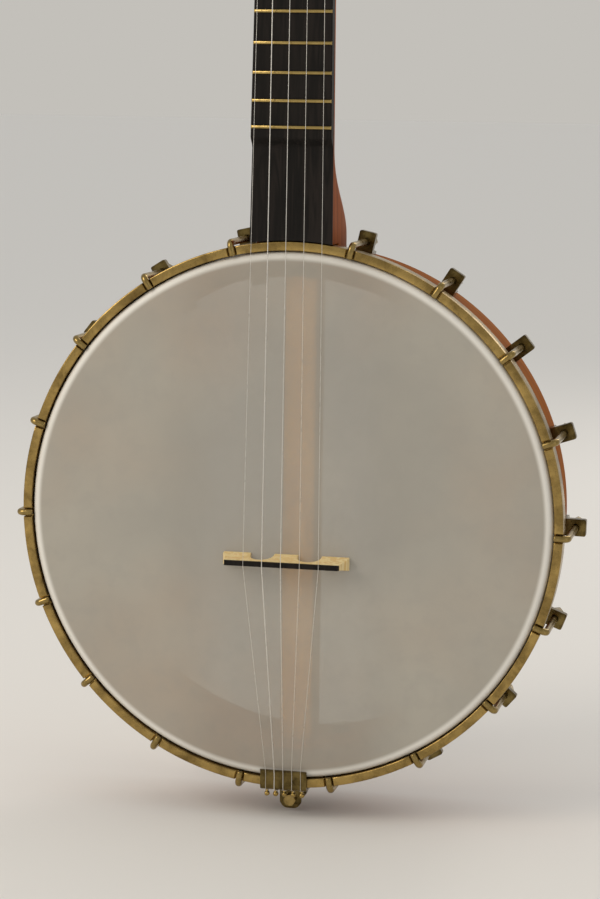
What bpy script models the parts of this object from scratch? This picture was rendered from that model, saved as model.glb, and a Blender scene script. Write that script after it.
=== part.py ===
# Five-string open-back banjo, an assembly of separate pieces.
# All sizes are millimetres and become metres when each mesh is finished.
# Frame: origin on the fingerboard's surface at the nut, above the middle of the pot.
# +Z runs up the neck, -Y is the side that is played, +X is the treble side.

from math import acos, atan2, cos, hypot, pi, radians, sin, sqrt

import bmesh
import bpy
from mathutils import Matrix, Vector

MM = 0.001
GAP = 0.3                       # between pieces that touch
OVERRUN = 3.0                   # a hole's tool runs this far past the surface it enters
CUT_OVERRUN = 20.0              # and a larger cutting shape runs this far

# Strings and scale
SCALE = 660.4                   # nut to bridge, 26 inches
BRIDGE_BELOW_CENTRE = 24.6      # bridge line below the middle of the pot
STRING_SPACING = 11.0           # at the bridge
FRET_COUNT = 17
FIFTH_FRET = 5                  # the short string starts at this fret
STRING_DIAMETERS = (0.26, 0.30, 0.41, 0.58, 0.26)   # first (treble) to fifth
NUT_STRING_X = (14.5, 5.8, -2.9, -11.6)             # first to fourth
FIFTH_PIP_INSET = 1.9           # its nut's middle, inside the board's bass edge
FIFTH_PIP_RADIUS = 1.3
FIFTH_PIP_ABOVE = 4.5           # along the board from the fifth fret
FIFTH_PIP_HEIGHT = 2.1          # string's rest, in front of the fret tops
FIFTH_PIP_ROOT = 2.6            # in the board
ACTION_AT_NUT = 1.0             # string centre above the fret tops' plane at the nut

# Pot, as radii and as depths behind the front of the head
RIM_RADIUS = 152.4              # 12-inch rim
RIM_WALL = 14.3
RIM_BACK = 74.5
RIM_CORNER = 1.5
RIM_RELIEF = 0.5                # step that leaves room for the head's collar
RELIEF_PAST_COLLAR = 1.6
TONE_RADIUS = 3.2               # section of the brass tone ring
TONE_INSET = 0.2                # inside the rim's outer edge
HEAD_THICK = 0.5
HOOP_OUTSIDE_RIM = 1.1
HOOP_WIDTH = 5.1
HOOP_HEIGHT = 12.0
HOOP_PROUD = 0.4                # hoop's front above the head
HOOP_BEVEL = 0.5
COLLAR_SETBACK = 1.0            # head's lip inside the hoop's outer edge
FLESH_WIDTH = 3.6
FLESH_HEIGHT = 3.7
NOTCH_WIDTH = 5.0
NOTCH_DEPTH = 3.0
POT_SIDES = 60

# Hooks and shoes
HOOK_COUNT = 18
HOOK_GAP_AT_NECK = 25.4         # degrees between the two hooks beside the neck
HOOK_RADIUS = 2.0
HOOK_CLEARANCE = 0.6            # shaft outside the hoop
HOOK_BEND = 2.6
HOOK_END = 58.5
SHOE_FRONT = 41.0
SHOE_LUG = 4.6                  # thickness along the hook
SHOE_WIDTH = 9.9
SHOE_REACH = 6.0                # lug past the hook's axis
SHOE_BASE = 3.0
SHOE_LENGTH = 18.0
BOLT_FROM_SHOE_END = 7.5
BOLT_RADIUS = 2.2
BOLT_HEAD_FLATS = 9.0
BOLT_HEAD = 3.6
NUT_FLATS = 8.0
NUT_LENGTH = 8.0

# Dowel stick and its fastenings
STICK_WIDTH = 19.6
STICK_DEPTH = 22.0
STICK_FRONT = 30.0
TENON_RADIUS = 7.0
TENON_IN_HEEL = 16.0
END_BOLT_RADIUS = 2.6
END_BOLT_IN_STICK = 22.0
END_PLATE_HALF = 7.75
END_PLATE_THICK = 2.2
EYE_HALF = 5.4                  # eye for the tailpiece's bolt
EYE_THICK = 5.0
BRACE_THICK = 3.0
BRACE_WIDTH = 16.0
BRACE_LENGTH = 26.0
BRACE_FOOT = 13.0
BRACE_SCREW_FROM_END = 8.0
BRACE_SCREW_RADIUS = 1.7
BRACE_SCREW_HEAD = 3.6
BRACE_SCREW_LENGTH = 13.0

# Tailpiece
TAIL_WIDTH = 27.5
TAIL_THICK = 1.2
TAIL_BEND = 1.2                 # inner radius where the plate turns over the hoop
TAIL_CLEARANCE = 0.5            # leg outside the hoop
TAIL_LIP_REACH = 4.2            # plate past the hoop's inner edge
TAIL_LIP_CURL = 1.2
TAIL_LEG = 20.0                 # depth of the leg outside the hoop
TAIL_TAB_WIDTH = 13.0
TAIL_TAB_REACH = 16.0
TAIL_HOLE_FROM_END = 5.5
TAIL_PIN_DROP = 2.6             # pins behind the plate's back
TAIL_PIN_SPACING = 5.2
TAIL_PIN_RADIUS = 0.9
TAIL_BALL_RADIUS = 1.6
TAIL_PIN_LENGTH = 3.4
TAIL_BOLT_RADIUS = 1.8
TAIL_BOLT_FLATS = 6.5
TAIL_BOLT_HEAD = 3.2
TAIL_BOLT_PAST_NUT = 4.2
TAIL_NUT_FLATS = 7.3
TAIL_NUT_LENGTH = 5.0

# Bridge
BRIDGE_HEIGHT = 16.0
BRIDGE_HALF_FEET = 37.0
BRIDGE_HALF_TOP = 33.2
BRIDGE_FOOT_THICK = 8.0
BRIDGE_TOP_THICK = 2.8
BRIDGE_CAP = 2.0
BRIDGE_FOOT = 16.2              # width of each outer foot
BRIDGE_MIDDLE_HALF = 7.1        # half width of the middle foot
BRIDGE_ARCH = 10.6              # height of the arches between the feet
BRIDGE_ARCH_FOOT = 2.4
BRIDGE_TOE = 3.2
BRIDGE_SHOULDER = 8.5
STRING_SLOT = 0.6               # in the bridge's cap and in the nut

# Neck and fingerboard
BOARD_THICK = 6.5
BOARD_TO_HOOP = 0.6
BOARD_LEAD = 5.2                # board's surface ahead of the head at the pot
HEAD_LEAD = 12.2                # head ahead of the board's surface at the nut
SCOOP_DEPTH = 5.0
SCOOP_AFTER_FRET = 5.0
SCOOP_RUN = 7.0
FRET_WIDTH = 2.2
FRET_HEIGHT = 1.0
FRET_TANG = 0.6
FRET_INSET = 0.15
TREBLE_EDGE_NUT = 18.1
TREBLE_EDGE_POT = 23.9
BASS_EDGE_POT = -23.9
BASS_EDGE_FIFTH = -20.8
BASS_EDGE_NARROW = -16.2
BASS_EDGE_NUT = -14.9
SHOULDER_ABOVE_FIFTH = 20.0     # wide part reaches this far above the fifth fret
SHOULDER_RUN = 12.0
NECK_DEPTH_NUT = 14.5
NECK_DEPTH_BODY = 17.5
HEEL_DEPTH = 64.0               # behind the head
HEEL_SQUARE = 5.0               # heel's curve would reach this far past its flat end
HEEL_CAP_LENGTH = 8.0           # deepest stretch of the heel beside the rim
HEEL_RUN = 52.0
HEEL_CAP_THICK = 2.5
HEEL_CAP_HALF = 14.0
HEEL_CAP_ROUND = 7.0
NUT_THICK = 5.0

# Peghead
PEGHEAD_SET_BACK = 1.5          # its front at the nut, behind the board's surface
PEGHEAD_TILT = 13.0             # degrees
PEGHEAD_THICK = 14.0
PEGHEAD_LENGTH = 150.0
PEGHEAD_ROOT = 11.0             # its wood reaches this far into the shaft below the nut
OVERLAY_THICK = 1.6
PEG_X = 19.5
PEG_ROWS = (48.0, 100.0)        # distance above the nut
THROAT_BELOW_PEGS = 38.0        # the peghead is as wide as the nut up to here, below the lower pegs
FLARE_BELOW_PEGS = 24.0
FLARE_WIDER = 5.5               # than the nut, on each side
LOWER_LOBE = (-10.0, 8.0)       # its ends, from the lower pegs
UPPER_LOBE = (-4.0, 14.0)       # its ends, from the upper pegs
WAIST_ABOVE_MIDDLE = 2.0        # narrowest place between the rows of pegs
LOBE_EDGES = (1.5, -1.2, 0.2, 0.6)   # past the tuners' cases: lower lobe, waist, upper lobe's two ends
CROWN_DROPS = (20.0, 10.0, 4.0)      # places below the peghead's tip
CROWN_NARROWER = (4.0, 1.0)     # than the tuners' cases, and than the nut
CROWN_TIP = 9.0                 # half width at the last of them
TRUSS_ROD_WIDTH = 6.0
TRUSS_ROD_HEIGHT = 7.5
TRUSS_SCREW_RADIUS = 2.2
TRUSS_ROD_LENGTH = 380.0
ROD_BELOW_NUT = 2.0
ROD_SCREW_IN = 4.0
ROD_SCREW_OUT = 9.0
ROD_POCKET = 24.0               # length up the peghead
ROD_POCKET_UNDER_NUT = 14.0
ROD_POCKET_DEPTH = 8.5
COVER_MARGIN = 4.0
COVER_THICK = 1.2

# Tuners
TUNER_SIDES = 12
BARREL_RADIUS = 4.7
POST_RADIUS = 3.0
POST_WAIST = 2.5
POST_HEIGHT = 17.0
POST_BORE = 3.4
BUSH_HEIGHT = 3.0
BUSH_FLANGE = 2.2               # washer past the barrel
WINDING_ROOM = (2.4, 9.4)       # waist's ends above the bushing
STRING_HOLE = 0.75
CASE_LENGTH = 9.0
CASE_WALL = 1.5
CASE_SIDE = 1.9
PLANET_RADIUS = 1.6
PLANET_ORBIT = 4.0
CARRIER_THICK = 1.4
CARRIER_MARGIN = 0.4            # past the planets
CARRIER_CLEARANCE = 0.6         # inside the case
SUN_RADIUS = 1.9
SUN_CLEARANCE = 0.8
BUTTON_RADIUS = 9.0
BUTTON_FLATTEN = 0.68
BUTTON_LENGTH = 10.0
BUTTON_STAND = 1.2
FIFTH_PEG_ABOVE = 9.5           # axis above the fifth fret
FIFTH_PEG_DEPTH = BOARD_THICK + 4.1   # axis behind the board's surface
FIFTH_BOSS_RADIUS = 6.5
FIFTH_BOSS_DEPTH = 16.0
FIFTH_SHANK = 12.0
FIFTH_SHANK_RADIUS = 3.2
FIFTH_AXLE_RADIUS = 1.6
FIFTH_FLANGE_RADIUS = 6.0
FIFTH_FLANGE = 1.5
FIFTH_SPOOL = 9.0
FIFTH_PLANET_RADIUS = 1.1
FIFTH_PLANET_ORBIT = 3.8
FIFTH_PLANET_CLEARANCE = 0.7    # inside the cup
FIFTH_CUP_WALL = 1.4
FIFTH_CUP_DEPTH = 6.4
FIFTH_PLATE = 1.5
WINDING_TURNS = 2
WINDING_STEPS = 8               # points in a turn
WINDING_GAP = 0.5

# Places worked out from the sizes above
POT_Z = -(SCALE - BRIDGE_BELOW_CENTRE)
HEAD_Y = -HEAD_LEAD
HOOP_INNER = RIM_RADIUS + HOOP_OUTSIDE_RIM
HOOP_OUTER = HOOP_INNER + HOOP_WIDTH
HOOP_BACK = HOOP_HEIGHT - HOOP_PROUD
LIP_FRONT = HOOP_BACK + GAP + FLESH_HEIGHT + GAP
RIM_RELIEF_DEPTH = LIP_FRONT + HEAD_THICK + RELIEF_PAST_COLLAR
HOOK_AXIS = HOOP_OUTER + HOOK_RADIUS + HOOK_CLEARANCE
RIM_INNER = RIM_RADIUS - RIM_WALL
TONE_CENTRE = RIM_RADIUS - TONE_RADIUS - TONE_INSET
TONE_DEPTH = HEAD_THICK + GAP + TONE_RADIUS
RIM_FRONT = TONE_DEPTH + TONE_RADIUS + GAP
BOARD_END_Z = POT_Z + HOOP_OUTER + BOARD_TO_HOOP
BOARD_SLOPE = (BOARD_LEAD + HEAD_LEAD) / -BOARD_END_Z
FIFTH_Z = SCALE * 2 ** (-FIFTH_FRET / 12) - SCALE
LAST_FRET_Z = SCALE * 2 ** (-FRET_COUNT / 12) - SCALE
STICK_MIDDLE = STICK_FRONT + STICK_DEPTH / 2
NUT_X = (NUT_STRING_X[0] + NUT_STRING_X[-1]) / 2
STACK = OVERLAY_THICK + GAP + PEGHEAD_THICK
BRIDGE_Z = -SCALE
CARRIER_RADIUS = PLANET_ORBIT + PLANET_RADIUS + CARRIER_MARGIN
CASE_CHAMBER = CARRIER_RADIUS + CARRIER_CLEARANCE
CASE_RADIUS = CASE_CHAMBER + CASE_SIDE
FIFTH_CUP_BORE = FIFTH_PLANET_ORBIT + FIFTH_PLANET_RADIUS + FIFTH_PLANET_CLEARANCE
FIFTH_CUP_RADIUS = FIFTH_CUP_BORE + FIFTH_CUP_WALL
BUSH_FRONT = GAP + BUSH_HEIGHT

POT = Matrix.Translation((0, HEAD_Y, POT_Z))
ALONG_DEPTH = Matrix.Rotation(-pi / 2, 4, "X")   # turned shapes: their Z becomes the pot's depth
TILT = Matrix.Rotation(radians(90 - PEGHEAD_TILT), 4, "X")


def board_y(z):
    return BOARD_SLOPE * z


def board_seat(z):
    # Front of the neck's wood under the board, which is level beyond the nut's near edge.
    return board_y(min(z, 0)) + BOARD_THICK + GAP


def fret_z(number):
    return SCALE * 2 ** (-number / 12) - SCALE


def smooth(low, high, value):
    t = min(max((value - low) / (high - low), 0), 1)
    return t * t * (3 - 2 * t)


def treble_edge(z):
    return TREBLE_EDGE_NUT + (TREBLE_EDGE_POT - TREBLE_EDGE_NUT) * z / BOARD_END_Z


def bass_edge(z):
    # Straight from the pot to the fifth fret, then a shoulder down to the four-string width.
    start = FIFTH_Z + SHOULDER_ABOVE_FIFTH
    wide = BASS_EDGE_FIFTH + (BASS_EDGE_POT - BASS_EDGE_FIFTH) * (z - FIFTH_Z) / (BOARD_END_Z - FIFTH_Z)
    narrow = BASS_EDGE_NUT + (BASS_EDGE_NARROW - BASS_EDGE_NUT) * z / FIFTH_Z
    return wide + (narrow - wide) * smooth(start, start + SHOULDER_RUN, z)


def clear_scene():
    for old in list(bpy.data.objects):
        bpy.data.objects.remove(old, do_unlink=True)


def material(name, colour, metallic, roughness):
    made = bpy.data.materials.new(name)
    made.use_nodes = True
    shader = made.node_tree.nodes["Principled BSDF"]
    shader.inputs["Base Color"].default_value = (*colour, 1)
    shader.inputs["Metallic"].default_value = metallic
    shader.inputs["Roughness"].default_value = roughness
    return made


# Mesh tools

def turned(profile, sides, closed=True):
    # A profile of (radius, height) points turned about Z; an open one starts and ends on the axis.
    shape = bmesh.new()
    verts = [shape.verts.new((r, 0, h)) for r, h in profile]
    pairs = list(zip(verts, verts[1:]))
    if closed:
        pairs.append((verts[-1], verts[0]))
    edges = [shape.edges.new(pair) for pair in pairs]
    bmesh.ops.spin(shape, geom=verts + edges, cent=(0, 0, 0), axis=(0, 0, 1), angle=2 * pi,
                   steps=sides, use_merge=True)
    bmesh.ops.remove_doubles(shape, verts=shape.verts, dist=0.0005)
    return outward(shape)


def prism(outline, low, high):
    # A flat outline of (x, y) points drawn out along Z.
    shape = bmesh.new()
    face = shape.faces.new([shape.verts.new((x, y, low)) for x, y in outline])
    moved = bmesh.ops.extrude_face_region(shape, geom=[face])["geom"]
    top = [v for v in moved if isinstance(v, bmesh.types.BMVert)]
    bmesh.ops.translate(shape, verts=top, vec=(0, 0, high - low))
    return outward(shape)


def block(x, y, z):
    # A box from three (low, high) pairs.
    return prism([(x[0], y[0]), (x[1], y[0]), (x[1], y[1]), (x[0], y[1])], z[0], z[1])


def loft(rings):
    # Closed rings with equal numbers of points, skinned in order and capped at both ends.
    shape = bmesh.new()
    rows = [[shape.verts.new(p) for p in ring] for ring in rings]
    for a, b in zip(rows, rows[1:]):
        for i in range(len(a)):
            j = (i + 1) % len(a)
            shape.faces.new((a[i], a[j], b[j], b[i]))
    shape.faces.new(rows[0][::-1])
    shape.faces.new(rows[-1])
    return outward(shape)


def rod(start, end, radius, sides):
    # A plain round bar between two points.
    start, end = Vector(start), Vector(end)
    shape = turned([(0, 0), (radius, 0), (radius, (end - start).length), (0, (end - start).length)],
                   sides, closed=False)
    turn = (end - start).to_track_quat("Z", "Y").to_matrix().to_4x4()
    return moved_by(shape, Matrix.Translation(start) @ turn)


def through_hole(start, end, radius, sides=12):
    # A round tool for a hole from one surface to another.
    start, end = Vector(start), Vector(end)
    past = (end - start).normalized() * OVERRUN
    return rod(start - past, end + past, radius, sides)


def outward(shape):
    bmesh.ops.recalc_face_normals(shape, faces=shape.faces)
    return shape


def moved_by(shape, matrix):
    bmesh.ops.transform(shape, matrix=matrix, verts=shape.verts)
    return shape


def arc(centre, radius, start, end, steps):
    # Points on a circle, with the angles in degrees.
    angles = [radians(start + (end - start) * i / steps) for i in range(steps + 1)]
    return [(centre[0] + radius * cos(a), centre[1] + radius * sin(a)) for a in angles]


def hexagon(flats):
    corner = flats / sqrt(3)
    return [(corner * cos(radians(60 * i)), corner * sin(radians(60 * i))) for i in range(6)]


def as_object(shape, name):
    mesh = bpy.data.meshes.new(name)
    shape.to_mesh(mesh)
    shape.free()
    made = bpy.data.objects.new(name, mesh)
    bpy.context.collection.objects.link(made)
    return made


def combined(base, others, operation):
    # One mesh from a Boolean of the base with each other shape in turn.
    target = as_object(base, "target")
    for other in others:
        tool = as_object(other, "tool")
        step = target.modifiers.new("Boolean", "BOOLEAN")
        step.operation = operation
        step.object = tool
        graph = bpy.context.evaluated_depsgraph_get()
        result = bpy.data.meshes.new_from_object(target.evaluated_get(graph))
        target.modifiers.clear()
        old = target.data
        target.data = result
        bpy.data.meshes.remove(old)
        bpy.data.objects.remove(tool)
    shape = bmesh.new()
    shape.from_mesh(target.data)
    bpy.data.objects.remove(target)
    bmesh.ops.remove_doubles(shape, verts=shape.verts, dist=0.0005)
    return shape


def united(base, *others):
    return combined(base, others, "UNION")


def cut(base, *others):
    return combined(base, others, "DIFFERENCE")


def together(*shapes):
    # Several closed shapes that don't meet, as one tool for a cut or a union.
    whole = bmesh.new()
    for shape in shapes:
        mesh = bpy.data.meshes.new("part")
        shape.to_mesh(mesh)
        shape.free()
        whole.from_mesh(mesh)
        bpy.data.meshes.remove(mesh)
    return whole


def node(name, shape, finish, frame=None, origin=None):
    # The object's mesh is in its frame; an origin moves only the object's own zero point.
    if frame is not None:
        bmesh.ops.transform(shape, matrix=frame, verts=shape.verts)
    start = Vector(origin) if origin is not None else Vector((0, 0, 0))
    bmesh.ops.translate(shape, verts=shape.verts, vec=-start)
    bmesh.ops.scale(shape, vec=(MM, MM, MM), verts=shape.verts)
    made = as_object(shape, name)
    made.location = start * MM
    made.data.materials.append(finish)
    made.data.shade_smooth()
    made.data.set_sharp_from_angle(angle=radians(35))
    return made


def pot_turned(profile):
    return moved_by(turned(profile, POT_SIDES), ALONG_DEPTH)


def inside_rim(half):
    # How far out a flat end of this half width can reach inside the rim.
    return sqrt((RIM_INNER * cos(pi / POT_SIDES)) ** 2 - half ** 2) - GAP


def around_pot(angle):
    return Matrix.Rotation(radians(angle), 4, "Y")


# Pot

def make_rim(finish):
    top = RIM_RADIUS - RIM_RELIEF
    profile = [(RIM_INNER, RIM_FRONT), (top, RIM_FRONT), (top, RIM_RELIEF_DEPTH - RIM_RELIEF),
               (RIM_RADIUS, RIM_RELIEF_DEPTH), (RIM_RADIUS, RIM_BACK - RIM_CORNER),
               (RIM_RADIUS - RIM_CORNER, RIM_BACK), (RIM_INNER + RIM_CORNER, RIM_BACK),
               (RIM_INNER, RIM_BACK - RIM_CORNER)]
    depth = bolt_depth()
    holes = []
    for angle in hook_angles():
        # The bolt and its hole have six sides here, so the flats are the gap apart.
        hole = through_hole((0, depth, RIM_INNER), (0, depth, RIM_RADIUS), BOLT_RADIUS + GAP / cos(pi / 6), 6)
        holes.append(moved_by(hole, around_pot(angle)))
    middle = STICK_MIDDLE
    holes.append(through_hole((0, middle, RIM_INNER), (0, middle, RIM_RADIUS), TENON_RADIUS + GAP, 20))
    holes.append(through_hole((0, middle, -RIM_INNER), (0, middle, -RIM_RADIUS), END_BOLT_RADIUS + GAP))
    node("rim", cut(pot_turned(profile), together(*holes)), finish, POT)


def make_tone_ring(finish):
    profile = arc((TONE_CENTRE, TONE_DEPTH), TONE_RADIUS, 30, 330, 5)
    node("tone_ring", pot_turned(profile), finish, POT)


def head_profile():
    # Flat front, a round shoulder over the tone ring, a collar, and a lip under the flesh hoop.
    outer = TONE_RADIUS + GAP + HEAD_THICK
    inner = TONE_RADIUS + GAP
    edge = HOOP_OUTER - COLLAR_SETBACK
    front = arc((TONE_CENTRE, TONE_DEPTH), outer, -90, 0, 3)
    back = arc((TONE_CENTRE, TONE_DEPTH), inner, 0, -90, 3)
    wall = TONE_CENTRE + outer
    lip_back = LIP_FRONT + HEAD_THICK
    collar = [(wall, LIP_FRONT), (edge, LIP_FRONT), (edge, lip_back), (wall - HEAD_THICK, lip_back)]
    return [(0, 0)] + front + collar + back + [(0, HEAD_THICK)]


def make_head(finish):
    shape = moved_by(turned(head_profile(), POT_SIDES, closed=False), ALONG_DEPTH)
    node("head", shape, finish, POT)


def make_flesh_hoop(finish):
    low = HOOP_BACK + GAP
    inner = TONE_CENTRE + TONE_RADIUS + GAP + HEAD_THICK + GAP
    profile = [(inner, low), (inner + FLESH_WIDTH, low), (inner + FLESH_WIDTH, low + FLESH_HEIGHT),
               (inner, low + FLESH_HEIGHT)]
    node("flesh_hoop", pot_turned(profile), finish, POT)


def make_tension_hoop(finish):
    front = -HOOP_PROUD
    bevel = HOOP_BEVEL
    profile = [(HOOP_INNER, front + bevel), (HOOP_INNER + bevel, front), (HOOP_OUTER - bevel, front),
               (HOOP_OUTER, front + bevel), (HOOP_OUTER, HOOP_BACK), (HOOP_INNER, HOOP_BACK)]
    notches = []
    for angle in hook_angles():
        notch = block((-NOTCH_WIDTH / 2, NOTCH_WIDTH / 2), (front - OVERRUN, front + NOTCH_DEPTH),
                      (HOOP_INNER - OVERRUN, HOOP_OUTER + OVERRUN))
        notches.append(moved_by(notch, around_pot(angle)))
    node("tension_hoop", cut(pot_turned(profile), together(*notches)), finish, POT)


# Hooks and their shoes

def hook_angles():
    step = (360 - HOOK_GAP_AT_NECK) / (HOOK_COUNT - 1)
    return [HOOK_GAP_AT_NECK / 2 + step * i for i in range(HOOK_COUNT)]


def hook_claw_depth():
    return -HOOP_PROUD + NOTCH_DEPTH - GAP - HOOK_RADIUS


def bolt_depth():
    return SHOE_FRONT + SHOE_LENGTH - BOLT_FROM_SHOE_END


def make_hook():
    # A round rod: a claw over the hoop, one bend, and a shaft back to the shoe.
    claw = hook_claw_depth()
    tip = HOOP_INNER - 0.1
    bend = arc((HOOK_AXIS - HOOK_BEND, claw + HOOK_BEND), HOOK_BEND, -90, 0, 3)
    path = [(tip, claw)] + bend + [(HOOK_AXIS, HOOK_END)]
    sides = 6
    rings = []
    for i, (r, d) in enumerate(path):
        before = path[max(i - 1, 0)]
        after = path[min(i + 1, len(path) - 1)]
        lean = atan2(after[1] - before[1], after[0] - before[0])
        across = Vector((0, cos(lean), -sin(lean)))
        centre = Vector((0, d, r))
        turn = [radians(360 * (s + 0.5) / sides) for s in range(sides)]
        rings.append([centre + HOOK_RADIUS * (Vector((1, 0, 0)) * cos(t) + across * sin(t)) for t in turn])
    return loft(rings)


def make_shoe():
    # An L: a base against the rim and a lug that the hook passes through.
    seat = RIM_RADIUS + GAP
    top = HOOK_AXIS + SHOE_REACH
    back = SHOE_FRONT + SHOE_LENGTH
    lug_back = SHOE_FRONT + SHOE_LUG
    base = seat + SHOE_BASE
    outline = [(SHOE_FRONT, seat), (SHOE_FRONT, top - 1), (SHOE_FRONT + 1, top), (lug_back, top),
               (lug_back, base), (back, base), (back, seat)]
    half = SHOE_WIDTH / 2
    to_side = Matrix(((0, 0, 1, 0), (1, 0, 0, 0), (0, 1, 0, 0), (0, 0, 0, 1)))
    return moved_by(prism(outline, -half, half), to_side)


def make_bracket_shape():
    # Hook, shoe, nut, and the bolt that holds the shoe through the rim, with its head inside.
    nut_low = SHOE_FRONT + SHOE_LUG - 0.5
    nut = moved_by(prism(hexagon(NUT_FLATS), nut_low, nut_low + NUT_LENGTH), ALONG_DEPTH)
    nut = moved_by(nut, Matrix.Translation((0, 0, HOOK_AXIS)))
    depth = bolt_depth()
    bolt = rod((0, depth, RIM_INNER - 2), (0, depth, RIM_RADIUS + 2), BOLT_RADIUS, 6)
    seat = inside_rim(BOLT_HEAD_FLATS / sqrt(3))
    head = prism(hexagon(BOLT_HEAD_FLATS), seat - BOLT_HEAD, seat)
    head = moved_by(head, Matrix.Translation((0, depth, 0)))
    return united(make_shoe(), make_hook(), nut, bolt, head)


def make_brackets(finish):
    first = None
    for number, angle in enumerate(hook_angles(), 1):
        name = f"bracket_{number:02d}"
        if first is None:
            first = node(name, make_bracket_shape(), finish)
            made = first
        else:
            made = bpy.data.objects.new(name, first.data)
            bpy.context.collection.objects.link(made)
        made.location = Vector((0, HEAD_Y, POT_Z)) * MM
        made.rotation_euler = (0, radians(angle), 0)


# Dowel stick, neck brace and end bolt

def make_dowel_stick(finish):
    half = STICK_WIDTH / 2
    end = inside_rim(half)
    stick = block((-half, half), (STICK_FRONT, STICK_FRONT + STICK_DEPTH), (-end, end))
    tenon = rod((0, STICK_MIDDLE, end - 3), (0, STICK_MIDDLE, RIM_RADIUS + TENON_IN_HEEL), TENON_RADIUS, 20)
    bolt_hole = rod((0, STICK_MIDDLE, -end - OVERRUN), (0, STICK_MIDDLE, -end + END_BOLT_IN_STICK + 1),
                    END_BOLT_RADIUS + GAP, 12)
    back = STICK_FRONT + STICK_DEPTH
    screw_hole = rod((0, back + OVERRUN, brace_screw_z()), (0, back - BRACE_SCREW_LENGTH, brace_screw_z()),
                     BRACE_SCREW_RADIUS + GAP, 12)
    node("dowel_stick", cut(united(stick, tenon), bolt_hole, screw_hole), finish, POT)


def brace_screw_z():
    return RIM_INNER - BRACE_LENGTH + BRACE_SCREW_FROM_END


def make_neck_brace(finish, screw_finish):
    low = STICK_FRONT + STICK_DEPTH + GAP
    half = BRACE_WIDTH / 2
    face = inside_rim(half)
    foot = block((-half, half), (low, low + BRACE_FOOT), (face - BRACE_THICK, face))
    plate = block((-half, half), (low, low + BRACE_THICK), (RIM_INNER - BRACE_LENGTH, face - 1))
    hole = through_hole((0, low, brace_screw_z()), (0, low + BRACE_THICK, brace_screw_z()),
                        BRACE_SCREW_RADIUS + GAP)
    node("neck_brace", cut(united(foot, plate), hole), finish, POT)
    seat = low + BRACE_THICK + GAP
    point = seat - BRACE_SCREW_LENGTH
    head = BRACE_SCREW_HEAD
    profile = [(0, point), (BRACE_SCREW_RADIUS / 2, point + 1), (BRACE_SCREW_RADIUS, point + 3),
               (BRACE_SCREW_RADIUS, seat), (head, seat), (head, seat + head / 3),
               (head / 2, seat + head * 0.6), (0, seat + head * 0.65)]
    screw = moved_by(turned(profile, 12, closed=False), ALONG_DEPTH)
    node("brace_screw", moved_by(screw, Matrix.Translation((0, 0, brace_screw_z()))), screw_finish, POT)


def tail_bolt_radius():
    return tail_leg_inner() + TAIL_THICK + TAIL_TAB_REACH - TAIL_HOLE_FROM_END


def make_end_bolt(finish):
    # A shank through the rim into the stick, with an eye outside for the tailpiece bolt.
    seat = RIM_RADIUS + GAP
    reach = tail_bolt_radius()
    inner_end = RIM_INNER - END_BOLT_IN_STICK
    middle = STICK_MIDDLE
    shank = rod((0, middle, -inner_end), (0, middle, -seat - END_PLATE_THICK / 2), END_BOLT_RADIUS, 12)
    plate = block((-END_PLATE_HALF, END_PLATE_HALF), (middle - END_PLATE_HALF, middle + END_PLATE_HALF),
                  (-seat - END_PLATE_THICK, -seat))
    lug = block((-EYE_HALF, EYE_HALF), (middle - EYE_THICK / 2, middle + EYE_THICK / 2),
                (-reach - EYE_HALF, -seat - END_PLATE_THICK / 2))
    hole = through_hole((0, middle - EYE_THICK / 2, -reach), (0, middle + EYE_THICK / 2, -reach),
                        TAIL_BOLT_RADIUS + GAP)
    node("end_bolt", cut(united(shank, plate, lug), hole), finish, POT)


# Tailpiece

def tail_leg_inner():
    return HOOP_OUTER + TAIL_CLEARANCE


def tail_plate_back():
    return -HOOP_PROUD - GAP


def make_tailpiece(finish):
    back = tail_plate_back()
    front = back - TAIL_THICK
    inner = tail_leg_inner()
    lip = HOOP_INNER - TAIL_LIP_REACH
    bend = TAIL_BEND
    turn = (inner - bend, back + bend)
    curl = TAIL_LIP_CURL
    outline = [(lip - curl, front - curl * 0.75), (lip, front)] + arc(turn, bend + TAIL_THICK, -90, 0, 4)
    outline += [(inner + TAIL_THICK, TAIL_LEG), (inner, TAIL_LEG)]
    outline += arc(turn, bend, 0, -90, 4) + [(lip + curl / 4, back), (lip - curl, back - curl / 2)]
    half = TAIL_WIDTH / 2
    to_tail = Matrix(((0, 0, 1, 0), (0, 1, 0, 0), (-1, 0, 0, 0), (0, 0, 0, 1)))
    plate = moved_by(prism(outline, -half, half), to_tail)
    reach = tail_bolt_radius()
    tab = block((-TAIL_TAB_WIDTH / 2, TAIL_TAB_WIDTH / 2), (TAIL_LEG - TAIL_THICK, TAIL_LEG),
                (-inner - TAIL_THICK - TAIL_TAB_REACH, -inner - TAIL_THICK / 3))
    hole = through_hole((0, TAIL_LEG - TAIL_THICK, -reach), (0, TAIL_LEG, -reach), TAIL_BOLT_RADIUS + GAP)
    pins = []
    for x in tail_pin_x():
        root = inner + TAIL_THICK * 2 / 3
        ball = root + TAIL_PIN_LENGTH
        profile = [(0, root), (TAIL_PIN_RADIUS, root), (TAIL_PIN_RADIUS, ball - TAIL_BALL_RADIUS * 0.8)]
        profile += arc((0, ball), TAIL_BALL_RADIUS, -30, 55, 2)
        profile += [(0, ball + TAIL_BALL_RADIUS)]
        pin = moved_by(turned(profile, 8, closed=False), Matrix.Rotation(pi, 4, "X"))
        pins.append(moved_by(pin, Matrix.Translation((x, tail_pin_depth(), 0))))
    node("tailpiece", cut(united(plate, tab, together(*pins)), hole), finish, POT)


def tail_pin_depth():
    return tail_plate_back() + TAIL_PIN_DROP


def tail_pin_x():
    return [TAIL_PIN_SPACING * (2 - i) for i in range(5)]


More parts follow.
